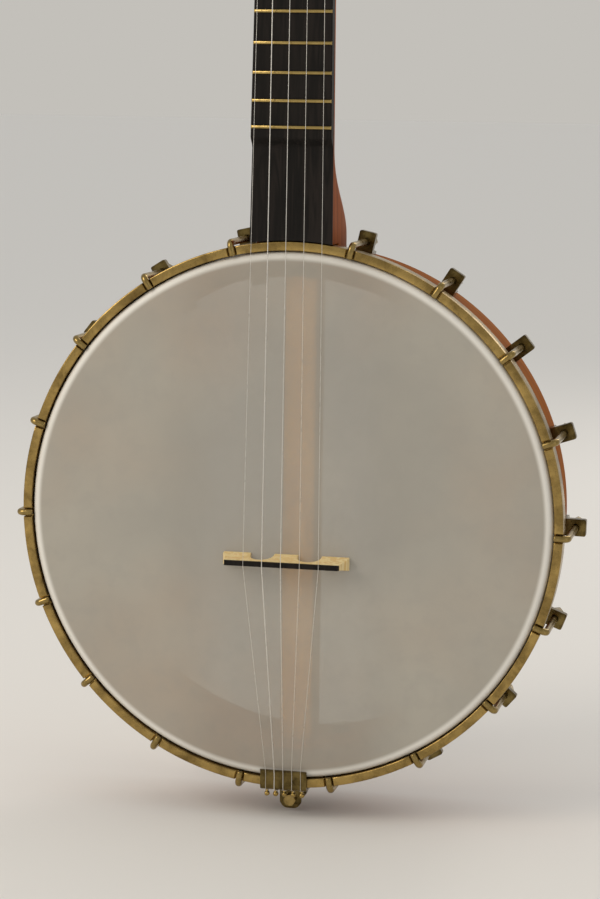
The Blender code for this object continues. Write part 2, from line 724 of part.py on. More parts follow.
def make_tail_bolt(finish):
    reach = tail_bolt_radius()
    seat = TAIL_LEG - TAIL_THICK - GAP
    head = prism(hexagon(TAIL_BOLT_FLATS), seat - TAIL_BOLT_HEAD, seat)
    low = STICK_MIDDLE + EYE_THICK / 2 + GAP
    high = low + TAIL_NUT_LENGTH
    shaft = rod((0, 0, seat - TAIL_BOLT_HEAD / 2), (0, 0, high + TAIL_BOLT_PAST_NUT), TAIL_BOLT_RADIUS, 12)
    place = Matrix.Translation((0, 0, -reach)) @ ALONG_DEPTH
    node("tailpiece_bolt", united(head, shaft), finish, POT @ place)
    nut = prism(hexagon(TAIL_NUT_FLATS), low, high)
    hole = through_hole((0, 0, low), (0, 0, high), TAIL_BOLT_RADIUS + GAP)
    node("tailpiece_nut", cut(nut, hole), finish, POT @ place)


# Bridge

def bridge_half_width(height):
    return BRIDGE_HALF_FEET + (BRIDGE_HALF_TOP - BRIDGE_HALF_FEET) * height / BRIDGE_HEIGHT


def bridge_half_thick(height):
    share = height / BRIDGE_HEIGHT
    return (BRIDGE_FOOT_THICK + (BRIDGE_TOP_THICK - BRIDGE_FOOT_THICK) * share) / 2


def tapered_bridge(outline):
    # The outline is (x, height); its thickness along the strings shrinks with height.
    shape = prism(outline, -1, 1)
    for v in shape.verts:
        v.co.z *= bridge_half_thick(v.co.y)
    to_pot = Matrix(((1, 0, 0, 0), (0, -1, 0, 0), (0, 0, 1, 0), (0, 0, 0, 1)))
    moved_by(shape, to_pot)
    bmesh.ops.recalc_face_normals(shape, faces=shape.faces)
    return shape


def make_bridge(wood, cap_finish):
    top = BRIDGE_HEIGHT - BRIDGE_CAP - GAP
    arch_end = BRIDGE_HALF_FEET - BRIDGE_FOOT
    middle = BRIDGE_MIDDLE_HALF
    outline = [(-BRIDGE_HALF_FEET, GAP), (-arch_end, GAP)]
    for low, high in ((-arch_end, -middle), (middle, arch_end)):
        centre = (low + high) / 2
        half = (high - low) / 2
        rise = BRIDGE_ARCH - BRIDGE_ARCH_FOOT
        turns = [radians(a) for a in range(0, 181, 30)]
        outline += [(centre - half * cos(t), BRIDGE_ARCH_FOOT + rise * sin(t)) for t in turns]
        outline.append((high, GAP))
        if low < 0:
            outline.append((middle, GAP))
    edge = bridge_half_width(top)
    outline += [(BRIDGE_HALF_FEET, GAP), (BRIDGE_HALF_FEET, BRIDGE_TOE), (edge + 0.4, BRIDGE_SHOULDER)]
    outline += [(edge, top), (-edge, top)]
    outline += [(-edge - 0.4, BRIDGE_SHOULDER), (-BRIDGE_HALF_FEET, BRIDGE_TOE)]
    place = Matrix.Translation((0, 0, -BRIDGE_BELOW_CENTRE))
    node("bridge_base", tapered_bridge(outline), wood, POT @ place)
    low = BRIDGE_HEIGHT - BRIDGE_CAP
    half_low = bridge_half_width(low)
    half_high = bridge_half_width(BRIDGE_HEIGHT)
    cap = [(-half_low, low), (half_low, low), (half_high, BRIDGE_HEIGHT)]
    for x in sorted(bridge_string_x(), reverse=True):
        cap += [(x + 0.7, BRIDGE_HEIGHT), (x, BRIDGE_HEIGHT - STRING_SLOT), (x - 0.7, BRIDGE_HEIGHT)]
    cap.append((-half_high, BRIDGE_HEIGHT))
    node("bridge_cap", tapered_bridge(cap), cap_finish, POT @ place)


def bridge_string_x():
    return [STRING_SPACING * (2 - i) for i in range(5)]


# Neck

def neck_back(z):
    # Depth of the neck's back behind its front plane, with the heel's curve beside the pot.
    share = smooth(0, LAST_FRET_Z, z)
    shaft = NECK_DEPTH_NUT + (NECK_DEPTH_BODY - NECK_DEPTH_NUT) * share
    height = z - (POT_Z + RIM_RADIUS + HEEL_CAP_LENGTH)
    heel = 1 - smooth(0, HEEL_RUN, height)
    full = HEAD_Y + HEEL_DEPTH + HEEL_SQUARE - board_seat(z)
    return shaft + (full - shaft) * heel, heel


def neck_ring(z):
    # The wood starts in front of the board's seat, so that cutting the seat leaves a clean face.
    steps = 12
    depth, heel = neck_back(z)
    power = 2.3 + 1.7 * heel
    left, right = bass_edge(z), treble_edge(z)
    centre, half = (left + right) / 2, (right - left) / 2
    front = board_seat(z)
    limit = HEAD_Y + HEEL_DEPTH
    ring = [(right, front - OVERRUN, z)]
    for i in range(steps + 1):
        t = pi * i / steps
        x = centre + half * (1 if cos(t) >= 0 else -1) * abs(cos(t)) ** (2 / power)
        y = front + depth * sin(t) ** (2 / power) if 0 < i < steps else front
        ring.append((x, min(y, limit), z))
    return ring + [(left, front - OVERRUN, z)]


def neck_stations():
    # The shaft starts inside the rim's circle, where the cutting of the pot's room removes it.
    rim_top = POT_Z + RIM_RADIUS
    heel_run = HEEL_CAP_LENGTH + HEEL_RUN
    stations = [rim_top - 2 * OVERRUN]
    count = 9
    stations += [rim_top + 2 + (heel_run - 2) * i / count for i in range(count + 1)]
    shoulder = FIFTH_Z + SHOULDER_ABOVE_FIFTH
    stations += [(rim_top + heel_run + shoulder) / 2, shoulder - SHOULDER_RUN]
    stations += [shoulder + SHOULDER_RUN * i / 5 for i in range(6)]
    stations += [(shoulder + SHOULDER_RUN) / 2, 0, NUT_THICK + GAP]
    return stations


def pot_cutter():
    # What the neck and the board must stay clear of: the hoop in front, the rim behind it.
    hoop = HOOP_OUTER + BOARD_TO_HOOP
    rim = RIM_RADIUS + GAP
    step = RIM_RELIEF_DEPTH
    front = -HEAD_LEAD - CUT_OVERRUN
    back = RIM_BACK + CUT_OVERRUN
    profile = [(0, front), (hoop, front), (hoop, step), (rim, step), (rim, back), (0, back)]
    shape = moved_by(turned(profile, POT_SIDES, closed=False), ALONG_DEPTH)
    return moved_by(shape, POT)


def peghead_frame():
    # Zero at the nut's far edge, Y up the peghead, Z out of its front.
    return Matrix.Translation((NUT_X, PEGHEAD_SET_BACK, NUT_THICK + GAP)) @ TILT


def peghead_outline(start):
    # Half widths at heights above the nut, smoothed and mirrored.
    nut_half = (TREBLE_EDGE_NUT - BASS_EDGE_NUT) / 2
    case_edge = PEG_X + CASE_RADIUS
    low, high = PEG_ROWS
    top = PEGHEAD_LENGTH
    lobe, waist, upper_start, upper_end = (case_edge + past for past in LOBE_EDGES)
    guide = [(start, nut_half), (low - THROAT_BELOW_PEGS, nut_half),
             (low - FLARE_BELOW_PEGS, nut_half + FLARE_WIDER), (low + LOWER_LOBE[0], case_edge),
             (low + LOWER_LOBE[1], lobe), ((low + high) / 2 + WAIST_ABOVE_MIDDLE, waist),
             (high + UPPER_LOBE[0], upper_start), (high + UPPER_LOBE[1], upper_end),
             (top - CROWN_DROPS[0], case_edge - CROWN_NARROWER[0]),
             (top - CROWN_DROPS[1], nut_half - CROWN_NARROWER[1]), (top - CROWN_DROPS[2], CROWN_TIP), (top, 0)]
    right = []
    for i in range(len(guide) - 1):
        before, a, b = guide[max(i - 1, 0)], guide[i], guide[i + 1]
        after = guide[min(i + 2, len(guide) - 1)]
        steps = 2
        for k in range(steps):
            right.append([through_points(before[c], a[c], b[c], after[c], k / steps) for c in (0, 1)])
    tip = [(0, top)]
    return [(w, h) for h, w in right] + tip + [(-w, h) for h, w in right[::-1]]


def through_points(before, a, b, after, t):
    # A smooth value from a to b, which also heeds the values on either side.
    return 0.5 * (2 * a + (b - before) * t + (2 * before - 5 * a + 4 * b - after) * t * t
                  + (3 * a - before - 3 * b + after) * t ** 3)


def peg_places():
    # First to fourth string: the outer strings go to the lower pegs.
    low, high = PEG_ROWS
    return [(PEG_X, low), (PEG_X, high), (-PEG_X, high), (-PEG_X, low)]


def peg_holes():
    radius = BARREL_RADIUS + GAP
    return [through_hole((x, y, -STACK), (x, y, 0), radius, TUNER_SIDES) for x, y in peg_places()]


def rod_slot(extra):
    # Space of the truss rod, open to the board, and its pocket behind the nut.
    half = TRUSS_ROD_WIDTH / 2 + extra
    top = rod_top()
    end = top - TRUSS_ROD_LENGTH
    rings = []
    for z in (end - extra, top + extra):
        front = board_seat(z) + (-OVERRUN if extra else GAP)
        back = board_seat(z) + GAP + TRUSS_ROD_HEIGHT + extra
        rings.append([(-half, front, z), (half, front, z), (half, back, z), (-half, back, z)])
    return loft(rings)


def rod_top():
    return -NUT_THICK - ROD_BELOW_NUT


def rod_screw(extra):
    # The truss rod's adjusting end, from the slot into the pocket.
    top = rod_top()
    y = board_seat(top) + GAP + TRUSS_ROD_HEIGHT / 2
    end = top + ROD_SCREW_OUT + (OVERRUN if extra else 0)
    return rod((0, y, top - ROD_SCREW_IN), (0, y, end), TRUSS_SCREW_RADIUS + extra, 12)


def rod_pocket():
    # From the truss rod's end under the nut out through the peghead's front.
    half = TRUSS_ROD_WIDTH / 2 + 2 * GAP
    pocket = block((-half - NUT_X, half - NUT_X), (-ROD_POCKET_UNDER_NUT, ROD_POCKET),
                   (-OVERLAY_THICK - GAP - ROD_POCKET_DEPTH, 2 * GAP))
    return moved_by(pocket, peghead_frame())


def fifth_peg_frame():
    # Zero on the neck's bass side at the fifth peg, Z pointing out to the bass side.
    z = FIFTH_Z + FIFTH_PEG_ABOVE
    place = Matrix.Translation((bass_edge(z) - GAP, board_y(z) + FIFTH_PEG_DEPTH, z))
    return place @ Matrix.Rotation(-pi / 2, 4, "Y")


def board_room():
    # Everything in front of the seat of the board and the nut.
    left = BASS_EDGE_POT - CUT_OVERRUN
    right = TREBLE_EDGE_POT + CUT_OVERRUN
    rings = []
    for z in (BOARD_END_Z - CUT_OVERRUN, 0, NUT_THICK + 2 * GAP):
        seat = board_seat(z)
        front = seat - CUT_OVERRUN
        rings.append([(left, front, z), (right, front, z), (right, seat, z), (left, seat, z)])
    return loft(rings)


def make_neck(finish, cap_finish):
    rings = [neck_ring(z) for z in neck_stations()]
    shaft = loft(rings)
    low = -OVERLAY_THICK - GAP
    peghead = moved_by(prism(peghead_outline(-PEGHEAD_ROOT), low - PEGHEAD_THICK, low), peghead_frame())
    boss = moved_by(rod((0, 0, -FIFTH_BOSS_DEPTH), (0, 0, -0.05), FIFTH_BOSS_RADIUS, 20), fifth_peg_frame())
    whole = united(shaft, peghead, boss)
    tenon = rod((0, STICK_MIDDLE, RIM_RADIUS - OVERRUN), (0, STICK_MIDDLE, RIM_RADIUS + TENON_IN_HEEL + GAP),
                TENON_RADIUS + GAP, 20)
    holes = moved_by(together(*peg_holes()), peghead_frame())
    shank = rod((0, 0, -FIFTH_SHANK - GAP), (0, 0, OVERRUN), FIFTH_SHANK_RADIUS + GAP, 16)
    shank = moved_by(shank, fifth_peg_frame())
    whole = cut(whole, board_room(), pot_cutter(), moved_by(tenon, POT), holes, shank)
    whole = cut(whole, rod_slot(GAP), rod_pocket(), rod_screw(GAP))
    node("neck", whole, finish)
    make_heel_cap(cap_finish)


def make_heel_cap(finish):
    half = HEEL_CAP_HALF
    start = RIM_RADIUS + 2 * GAP
    depth = HEEL_DEPTH + GAP
    outline = [(x, sqrt(start ** 2 - x ** 2)) for x in (-half, -half / 2, 0, half / 2, half)]
    turns = [radians(a) for a in range(0, 181, 20)]
    outline += [(half * cos(t), start + 1.5 + HEEL_CAP_ROUND * sin(t)) for t in turns]
    shape = moved_by(prism(outline, -depth - HEEL_CAP_THICK, -depth), Matrix.Rotation(pi / 2, 4, "X"))
    node("heel_cap", shape, finish, POT)


def scoop_start():
    return LAST_FRET_Z - SCOOP_AFTER_FRET


def make_fingerboard(finish):
    # The board, its scoop before the pot, and the frets.
    stations = [BOARD_END_Z - 2]
    start = scoop_start()
    for i in range(6):
        stations.append(start - SCOOP_RUN + SCOOP_RUN * i / 5)
    shoulder = FIFTH_Z + SHOULDER_ABOVE_FIFTH
    stations += [shoulder] + [shoulder + SHOULDER_RUN * i / 5 for i in range(1, 6)] + [-GAP]
    rings = []
    for z in stations:
        y = board_y(z)
        drop = SCOOP_DEPTH * smooth(0, SCOOP_RUN, start - z)
        left, right = bass_edge(z), treble_edge(z)
        rings.append([(left, y + drop, z), (right, y + drop, z),
                      (right, y + BOARD_THICK, z), (left, y + BOARD_THICK, z)])
    board = loft(rings)
    bars = []
    for number in range(1, FRET_COUNT + 1):
        z = fret_z(number)
        half = FRET_WIDTH / 2
        crown = half * 0.55
        section = [(-half, FRET_TANG), (half, FRET_TANG), (half, 0), (crown, -FRET_HEIGHT),
                   (-crown, -FRET_HEIGHT), (-half, 0)]
        rings = []
        for x, lean in ((bass_edge(z) + FRET_INSET, 0.5), (treble_edge(z) - FRET_INSET, -0.5)):
            rings.append([(x + (lean if y < 0 else 0), board_y(z) + y, z + along) for along, y in section])
        bars.append(loft(rings))
    board = united(board, together(*bars))
    top = fifth_nut_foot()
    bottom = top + Vector((0, FIFTH_PIP_ROOT + GAP, 0))
    pip = rod(top - Vector((0, OVERRUN, 0)), bottom, FIFTH_PIP_RADIUS + GAP, 12)
    node("fingerboard", cut(board, pot_cutter(), pip), finish)


def make_nut(finish):
    left, right = bass_edge(0), treble_edge(0)
    top = -FRET_HEIGHT - ACTION_AT_NUT - STRING_SLOT
    back = -FRET_HEIGHT - ACTION_AT_NUT + STRING_SLOT
    outline = [(left, BOARD_THICK), (right, BOARD_THICK), (right, top + 1), (right - 1, top)]
    for x in NUT_STRING_X:
        outline += [(x + 0.7, top), (x + 0.55, back), (x - 0.55, back), (x - 0.7, top)]
    outline += [(left + 1, top), (left, top + 1)]
    node("nut", prism(outline, 0, NUT_THICK), finish)


def fifth_nut_foot():
    # Middle of the fifth string's nut, on the board's surface.
    z = FIFTH_Z + FIFTH_PIP_ABOVE
    return Vector((bass_edge(z) + FIFTH_PIP_INSET, board_y(z), z))


def make_fifth_nut(finish):
    top = fifth_nut_height()
    wide = FIFTH_PIP_RADIUS
    root = FIFTH_PIP_ROOT
    profile = [(0, -top - 0.7), (wide - 0.4, -top - 0.7), (wide, -top - 0.3), (wide, root), (0, root)]
    pip = turned(profile, 12, closed=False)
    groove = block((-0.45, 0.45), (-wide - 1, wide + 1), (-top - OVERRUN, -top + 0.4))
    node("fifth_string_nut", cut(pip, groove), finish, Matrix.Translation(fifth_nut_foot()) @ ALONG_DEPTH)


def fifth_nut_height():
    return FRET_HEIGHT + FIFTH_PIP_HEIGHT


def make_peghead_trim(overlay_finish, rod_finish, cover_finish):
    overlay = prism(peghead_outline(GAP), -OVERLAY_THICK, 0)
    overlay = moved_by(cut(overlay, together(*peg_holes())), peghead_frame())
    node("peghead_overlay", cut(overlay, rod_pocket()), overlay_finish)
    node("truss_rod", united(rod_slot(0), rod_screw(0)), rod_finish)
    half = TRUSS_ROD_WIDTH / 2 + COVER_MARGIN
    outline = [(-half, 2 * GAP), (half, 2 * GAP)]
    turns = [radians(a) for a in range(0, 181, 20)]
    outline += [(half * cos(t), ROD_POCKET + COVER_MARGIN / 2 + half * 0.8 * sin(t)) for t in turns]
    cover = prism(outline, GAP, GAP + COVER_THICK)
    cover = moved_by(cover, peghead_frame() @ Matrix.Translation((-NUT_X, 0, 0)))
    node("truss_rod_cover", cover, cover_finish)


# Tuners

def planets(low, high, radius, orbit):
    places = [(orbit * cos(radians(120 * i)), orbit * sin(radians(120 * i))) for i in range(3)]
    return [rod((x, y, low), (x, y, high), radius, 6) for x, y in places]


def make_button_shape(sun_top, case_back):
    # A sun shaft and an oval knob, with Z out of the post's end.
    neck_end = case_back - BUTTON_STAND
    end = neck_end - BUTTON_LENGTH
    profile = [(0, sun_top), (SUN_RADIUS, sun_top), (SUN_RADIUS, neck_end + 0.2), (3.6, neck_end),
               (6.5, neck_end - 1.4), (BUTTON_RADIUS, neck_end - 4.2), (BUTTON_RADIUS, end + 3.5),
               (6.8, end + 0.8), (0, end)]
    shape = turned(profile, TUNER_SIDES, closed=False)
    for v in shape.verts:
        if hypot(v.co.x, v.co.y) > SUN_RADIUS + 0.5:
            v.co.y *= BUTTON_FLATTEN
    return shape


def make_tuner(number, place, metal, button_finish):
    back = -STACK - GAP
    case_back = back - CASE_LENGTH
    chamber = CASE_CHAMBER
    front = BUSH_FRONT
    washer = BARREL_RADIUS + BUSH_FLANGE
    floor = case_back + CASE_WALL
    sun_bore = SUN_RADIUS + SUN_CLEARANCE
    profile = [(POST_BORE, front), (washer - 0.9, front), (washer, front - 1.8), (washer, GAP),
               (BARREL_RADIUS, GAP), (BARREL_RADIUS, back), (CASE_RADIUS, back),
               (CASE_RADIUS, case_back + 0.8), (CASE_RADIUS - 0.8, case_back), (sun_bore, case_back),
               (sun_bore, floor), (chamber, floor), (chamber, back - CASE_WALL),
               (POST_BORE, back - CASE_WALL)]
    node(f"tuner_{number}_housing", turned(profile, TUNER_SIDES), metal, place)
    carrier = back - CASE_WALL - GAP
    carrier_back = carrier - CARRIER_THICK
    tip = GAP + POST_HEIGHT
    waist_low, waist_high = (front + room for room in WINDING_ROOM)
    profile = [(0, tip), (POST_RADIUS - 0.5, tip), (POST_RADIUS, tip - 0.7), (POST_RADIUS, waist_high + 0.8),
               (POST_WAIST, waist_high), (POST_WAIST, waist_low), (POST_RADIUS, waist_low - 0.8),
               (POST_RADIUS, carrier), (CARRIER_RADIUS, carrier), (CARRIER_RADIUS, carrier_back),
               (0, carrier_back)]
    post = turned(profile, TUNER_SIDES, closed=False)
    gears = planets(floor + GAP, carrier_back + 0.3, PLANET_RADIUS, PLANET_ORBIT)
    post = united(post, together(*gears))
    hole_height = waist_high - 0.8
    hole = through_hole((-POST_RADIUS, 0, hole_height), (POST_RADIUS, 0, hole_height), STRING_HOLE, 6)
    origin = place.to_translation()
    node(f"tuner_{number}_post", cut(post, hole), metal, place, origin)
    button = make_button_shape(carrier_back - 0.5, case_back)
    node(f"tuner_{number}_button", button, button_finish, place, origin)


def make_fifth_tuner(metal, button_finish):
    # A fixed axle carries fixed planets; the spool's cup is the ring gear, so it turns the other way.
    place = fifth_peg_frame()
    spool_low = FIFTH_FLANGE + 0.4
    cup = spool_low + FIFTH_SPOOL
    cup_end = cup + FIFTH_CUP_DEPTH
    plate = cup_end + GAP
    plate_end = plate + FIFTH_PLATE
    shank, axle = FIFTH_SHANK_RADIUS, FIFTH_AXLE_RADIUS
    bore = FIFTH_CUP_BORE
    disc = bore - 0.5
    disc_low, disc_high = cup + 0.9, cup + 2.0
    profile = [(0, -FIFTH_SHANK), (shank - 0.6, -FIFTH_SHANK), (shank, -FIFTH_SHANK + 1), (shank, GAP),
               (FIFTH_FLANGE_RADIUS, GAP), (FIFTH_FLANGE_RADIUS, FIFTH_FLANGE), (axle, FIFTH_FLANGE),
               (axle, disc_low), (disc, disc_low), (disc, disc_high), (0, disc_high)]
    body = turned(profile, TUNER_SIDES, closed=False)
    hole = SUN_RADIUS + 0.6
    edge = FIFTH_CUP_RADIUS + 0.2
    end_plate = turned([(hole, plate), (edge, plate), (edge, plate + 1.0), (edge - 0.6, plate_end),
                        (hole, plate_end)], TUNER_SIDES)
    pins = planets(disc_high - 0.4, plate + 0.5, FIFTH_PLANET_RADIUS, FIFTH_PLANET_ORBIT)
    node("tuner_5_housing", united(body, together(*pins), end_plate), metal, place)
    inner = axle + 0.4
    waist = fifth_waist()
    profile = [(inner, spool_low), (waist + 1.4, spool_low), (waist + 1.4, spool_low + 0.8),
               (waist, spool_low + 1.4), (waist, cup - 1.6), (waist + 0.9, cup - 1.0),
               (FIFTH_CUP_RADIUS, cup - 0.8), (FIFTH_CUP_RADIUS, cup_end), (bore, cup_end), (bore, cup + 0.5),
               (inner, cup + 0.5)]
    origin = place.to_translation()
    node("tuner_5_post", turned(profile, TUNER_SIDES), metal, place, origin)
    sun_end = disc_high + 0.4
    button = moved_by(make_button_shape(-sun_end, -plate_end), Matrix.Rotation(pi, 4, "X"))
    node("tuner_5_button", button, button_finish, place, origin)
    return cup - 2.6


def fifth_waist():
    return POST_WAIST + 0.5


# Strings

def string_path_to_tail(number, start):
    # From the nut over the bridge and the tailpiece to a loop round its pin.
    radius = STRING_DIAMETERS[number] / 2
    bridge_x = bridge_string_x()[number]
    pin_x = tail_pin_x()[number]
    bridge_y = HEAD_Y - BRIDGE_HEIGHT - radius - 0.05
    plate_y = HEAD_Y + tail_plate_back() - TAIL_THICK - GAP - radius
    leg = tail_leg_inner() + TAIL_THICK
    lip = HOOP_INNER - TAIL_LIP_REACH
    half_bridge = BRIDGE_TOP_THICK / 2
    points = [start]
    rise = (bridge_y - start[1]) / (BRIDGE_Z - start[2])
    points.append((bridge_x + (start[0] - bridge_x) * half_bridge / (start[2] - BRIDGE_Z),
                   bridge_y + rise * half_bridge, BRIDGE_Z + half_bridge))
    points.append((bridge_x, bridge_y - 0.05, BRIDGE_Z))
    points.append((bridge_x, bridge_y, BRIDGE_Z - half_bridge))
    points.append((pin_x, plate_y - 1.0, POT_Z - lip + 1.8))
    points.append((pin_x, plate_y, POT_Z - lip - 1.5))
    loop = TAIL_PIN_RADIUS + GAP + radius
    pin_y = HEAD_Y + tail_pin_depth()
    bend_y = HEAD_Y + tail_plate_back() + TAIL_BEND
    bend_z = POT_Z - leg + TAIL_THICK + TAIL_BEND
    round_bend = TAIL_BEND + TAIL_THICK + GAP + radius
    for angle in (0, 30, 60, 84):
        turn = radians(angle)
        points.append((pin_x, bend_y - round_bend * cos(turn), bend_z - round_bend * sin(turn)))
    for i in range(1, 9):
        turn = radians(-90 + 36 * i)
        points.append((pin_x + loop * cos(turn), pin_y + loop * sin(turn), bend_z - round_bend))
    return points


def winding(radius, height, pitch, start_angle, direction):
    # Turns round a post, as points in the post's frame.
    steps = WINDING_STEPS
    count = int(WINDING_TURNS * steps)
    made = []
    for i in range(count + 1):
        turn = start_angle + direction * 2 * pi * i / steps
        made.append(Vector((radius * cos(turn), radius * sin(turn), height + pitch * i / steps)))
    return made


def least_gap(points, diameter, skip):
    # Least distance between two stretches of one tube, less its diameter.
    found = None
    for i in range(len(points)):
        for j in range(i + skip, len(points)):
            apart = (Vector(points[i]) - Vector(points[j])).length - diameter
            found = apart if found is None else min(found, apart)
    return found


def tangent_angle(from_point, radius, side):
    # Where a line from a point touches a circle about zero, on the chosen side.
    distance = hypot(from_point[0], from_point[1])
    return atan2(from_point[1], from_point[0]) + side * acos(radius / distance)


def string_object(number, points, finish):
    curve = bpy.data.curves.new(f"string_{number + 1}", "CURVE")
    curve.dimensions = "3D"
    curve.bevel_depth = STRING_DIAMETERS[number] / 2 * MM
    curve.bevel_resolution = 0
    curve.use_fill_caps = True
    line = curve.splines.new("POLY")
    line.points.add(len(points) - 1)
    for spot, point in zip(line.points, points):
        spot.co = (point[0] * MM, point[1] * MM, point[2] * MM, 1)
    curve.materials.append(finish)
    made = bpy.data.objects.new(f"string_{number + 1}", curve)
    bpy.context.collection.objects.link(made)


def make_main_strings(finish):
    for number, (peg_x, peg_y) in enumerate(peg_places()):
        diameter = STRING_DIAMETERS[number]
        y = -FRET_HEIGHT - ACTION_AT_NUT
        x = NUT_STRING_X[number]
        frame = peghead_frame() @ Matrix.Translation((peg_x, peg_y, 0))
        inside = frame.inverted() @ Vector((x, y, NUT_THICK))
        radius = POST_WAIST + GAP + diameter / 2
        side = -1 if peg_x > 0 else 1
        pitch = diameter + WINDING_GAP
        low = BUSH_FRONT + WINDING_ROOM[0] + 0.4 + diameter / 2
        turns = winding(radius, low, pitch, tangent_angle(inside, radius, side), -side)
        coil = [frame @ p for p in turns]
        print(f"string_{number + 1} winding gap {least_gap(turns, diameter, 5):.2f} mm")
        points = coil[::-1] + string_path_to_tail(number, (x, y, NUT_THICK))
        points.insert(len(coil) + 1, Vector((x, y, 0)))
        string_object(number, [tuple(p) for p in points], finish)


def make_fifth_string(finish, spool_height):
    number = 4
    diameter = STRING_DIAMETERS[number]
    start = fifth_nut_foot() - Vector((0, fifth_nut_height(), 0))
    frame = fifth_peg_frame()
    inside = frame.inverted() @ start
    radius = fifth_waist() + GAP + diameter / 2
    facing = (frame.to_3x3().inverted() @ Vector((0, -1, 0)))
    side = 1 if facing.y * inside.x - facing.x * inside.y < 0 else -1
    pitch = diameter + WINDING_GAP
    turns = winding(radius, spool_height, -pitch, tangent_angle(inside, radius, side), -side)
    coil = [frame @ p for p in turns]
    print(f"string_5 winding gap {least_gap(turns, diameter, 5):.2f} mm")
    over = Vector((0, 0, FIFTH_PIP_RADIUS + 0.4))
    points = coil[::-1] + [start + over] + string_path_to_tail(number, start - over)
    string_object(number, [tuple(p) for p in points], finish)


def main():
    clear_scene()
    rim_wood = material("rim wood", (0.28, 0.10, 0.04), 0, 0.4)
    neck_wood = material("neck wood", (0.26, 0.09, 0.04), 0, 0.4)
    stick_wood = material("stick wood", (0.36, 0.15, 0.06), 0, 0.5)
    ebony = material("ebony", (0.012, 0.011, 0.010), 0, 0.5)
    maple = material("maple", (0.60, 0.42, 0.22), 0, 0.5)
    bone = material("bone", (0.72, 0.66, 0.52), 0, 0.4)
    skin = material("head film", (0.46, 0.43, 0.37), 0, 0.6)
    brass = material("brass", (0.55, 0.38, 0.13), 1, 0.35)
    bright_brass = material("bright brass", (0.62, 0.45, 0.17), 1, 0.28)
    steel = material("steel", (0.55, 0.55, 0.54), 1, 0.3)
    pearl = material("button", (0.66, 0.62, 0.54), 0, 0.35)

    make_rim(rim_wood)
    make_tone_ring(brass)
    make_head(skin)
    make_flesh_hoop(brass)
    make_tension_hoop(bright_brass)
    make_brackets(bright_brass)
    make_dowel_stick(stick_wood)
    make_neck_brace(brass, steel)
    make_end_bolt(brass)
    make_tailpiece(bright_brass)
    make_tail_bolt(brass)
    make_bridge(maple, ebony)
    make_neck(neck_wood, ebony)
    make_fingerboard(ebony)
    make_nut(bone)
    make_fifth_nut(bone)
    make_peghead_trim(ebony, steel, brass)
    for number, (x, y) in enumerate(peg_places(), 1):
        place = peghead_frame() @ Matrix.Translation((x, y, 0))
        make_tuner(number, place, bright_brass, pearl)
    spool_height = make_fifth_tuner(bright_brass, pearl)
    make_main_strings(steel)
    make_fifth_string(steel, spool_height)


main()
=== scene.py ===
from math import acos, atan2, cos, hypot, pi, radians, sin, sqrt

import bmesh
import bpy
from mathutils import Matrix, Vector


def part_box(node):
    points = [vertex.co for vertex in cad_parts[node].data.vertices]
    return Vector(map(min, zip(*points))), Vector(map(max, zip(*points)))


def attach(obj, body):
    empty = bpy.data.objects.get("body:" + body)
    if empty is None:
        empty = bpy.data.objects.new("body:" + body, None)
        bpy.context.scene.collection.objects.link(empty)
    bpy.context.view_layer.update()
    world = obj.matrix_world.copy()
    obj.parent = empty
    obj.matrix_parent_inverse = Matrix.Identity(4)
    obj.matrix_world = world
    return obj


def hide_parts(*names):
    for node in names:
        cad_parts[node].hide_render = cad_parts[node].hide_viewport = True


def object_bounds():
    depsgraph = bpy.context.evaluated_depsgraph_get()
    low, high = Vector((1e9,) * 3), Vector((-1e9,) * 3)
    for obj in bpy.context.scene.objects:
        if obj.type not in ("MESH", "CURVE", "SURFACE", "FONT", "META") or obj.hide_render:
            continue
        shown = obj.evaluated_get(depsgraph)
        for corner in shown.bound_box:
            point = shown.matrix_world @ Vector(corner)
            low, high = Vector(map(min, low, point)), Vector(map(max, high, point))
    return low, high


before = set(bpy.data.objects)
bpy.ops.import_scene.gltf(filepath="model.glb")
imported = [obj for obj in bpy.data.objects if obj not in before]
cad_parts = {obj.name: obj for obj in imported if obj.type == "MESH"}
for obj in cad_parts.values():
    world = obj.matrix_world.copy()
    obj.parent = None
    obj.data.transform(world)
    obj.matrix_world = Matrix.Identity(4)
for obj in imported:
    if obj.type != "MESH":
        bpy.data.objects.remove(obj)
cadBounds = [list(corner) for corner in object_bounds()]

# Every size below is in millimetres in the CAD's frame, and becomes metres in finishedObject.
mm = 0.001
gap = 0.3                        # between pieces that touch
weld = 0.0005                    # points closer than this become one


def nodeBox(name):
    low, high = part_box(name)
    return low / mm, high / mm


def at(x, y, z):
    return Matrix.Translation((x, y, z))


def spun(degrees, axis):
    return Matrix.Rotation(radians(degrees), 4, axis)


def axes(*rows):
    # Swaps or flips axes: each row says what x, y or z is made from.
    return Matrix(rows).to_4x4()


rimLow, rimHigh = nodeBox("rim")
hoopLow, hoopHigh = nodeBox("tension_hoop")
potZ = (rimLow.z + rimHigh.z) / 2
potFront = nodeBox("head")[0].y      # the head's front; depths are counted back from it
potPlace = at(0, potFront, potZ)
alongDepth = spun(-90, "X")

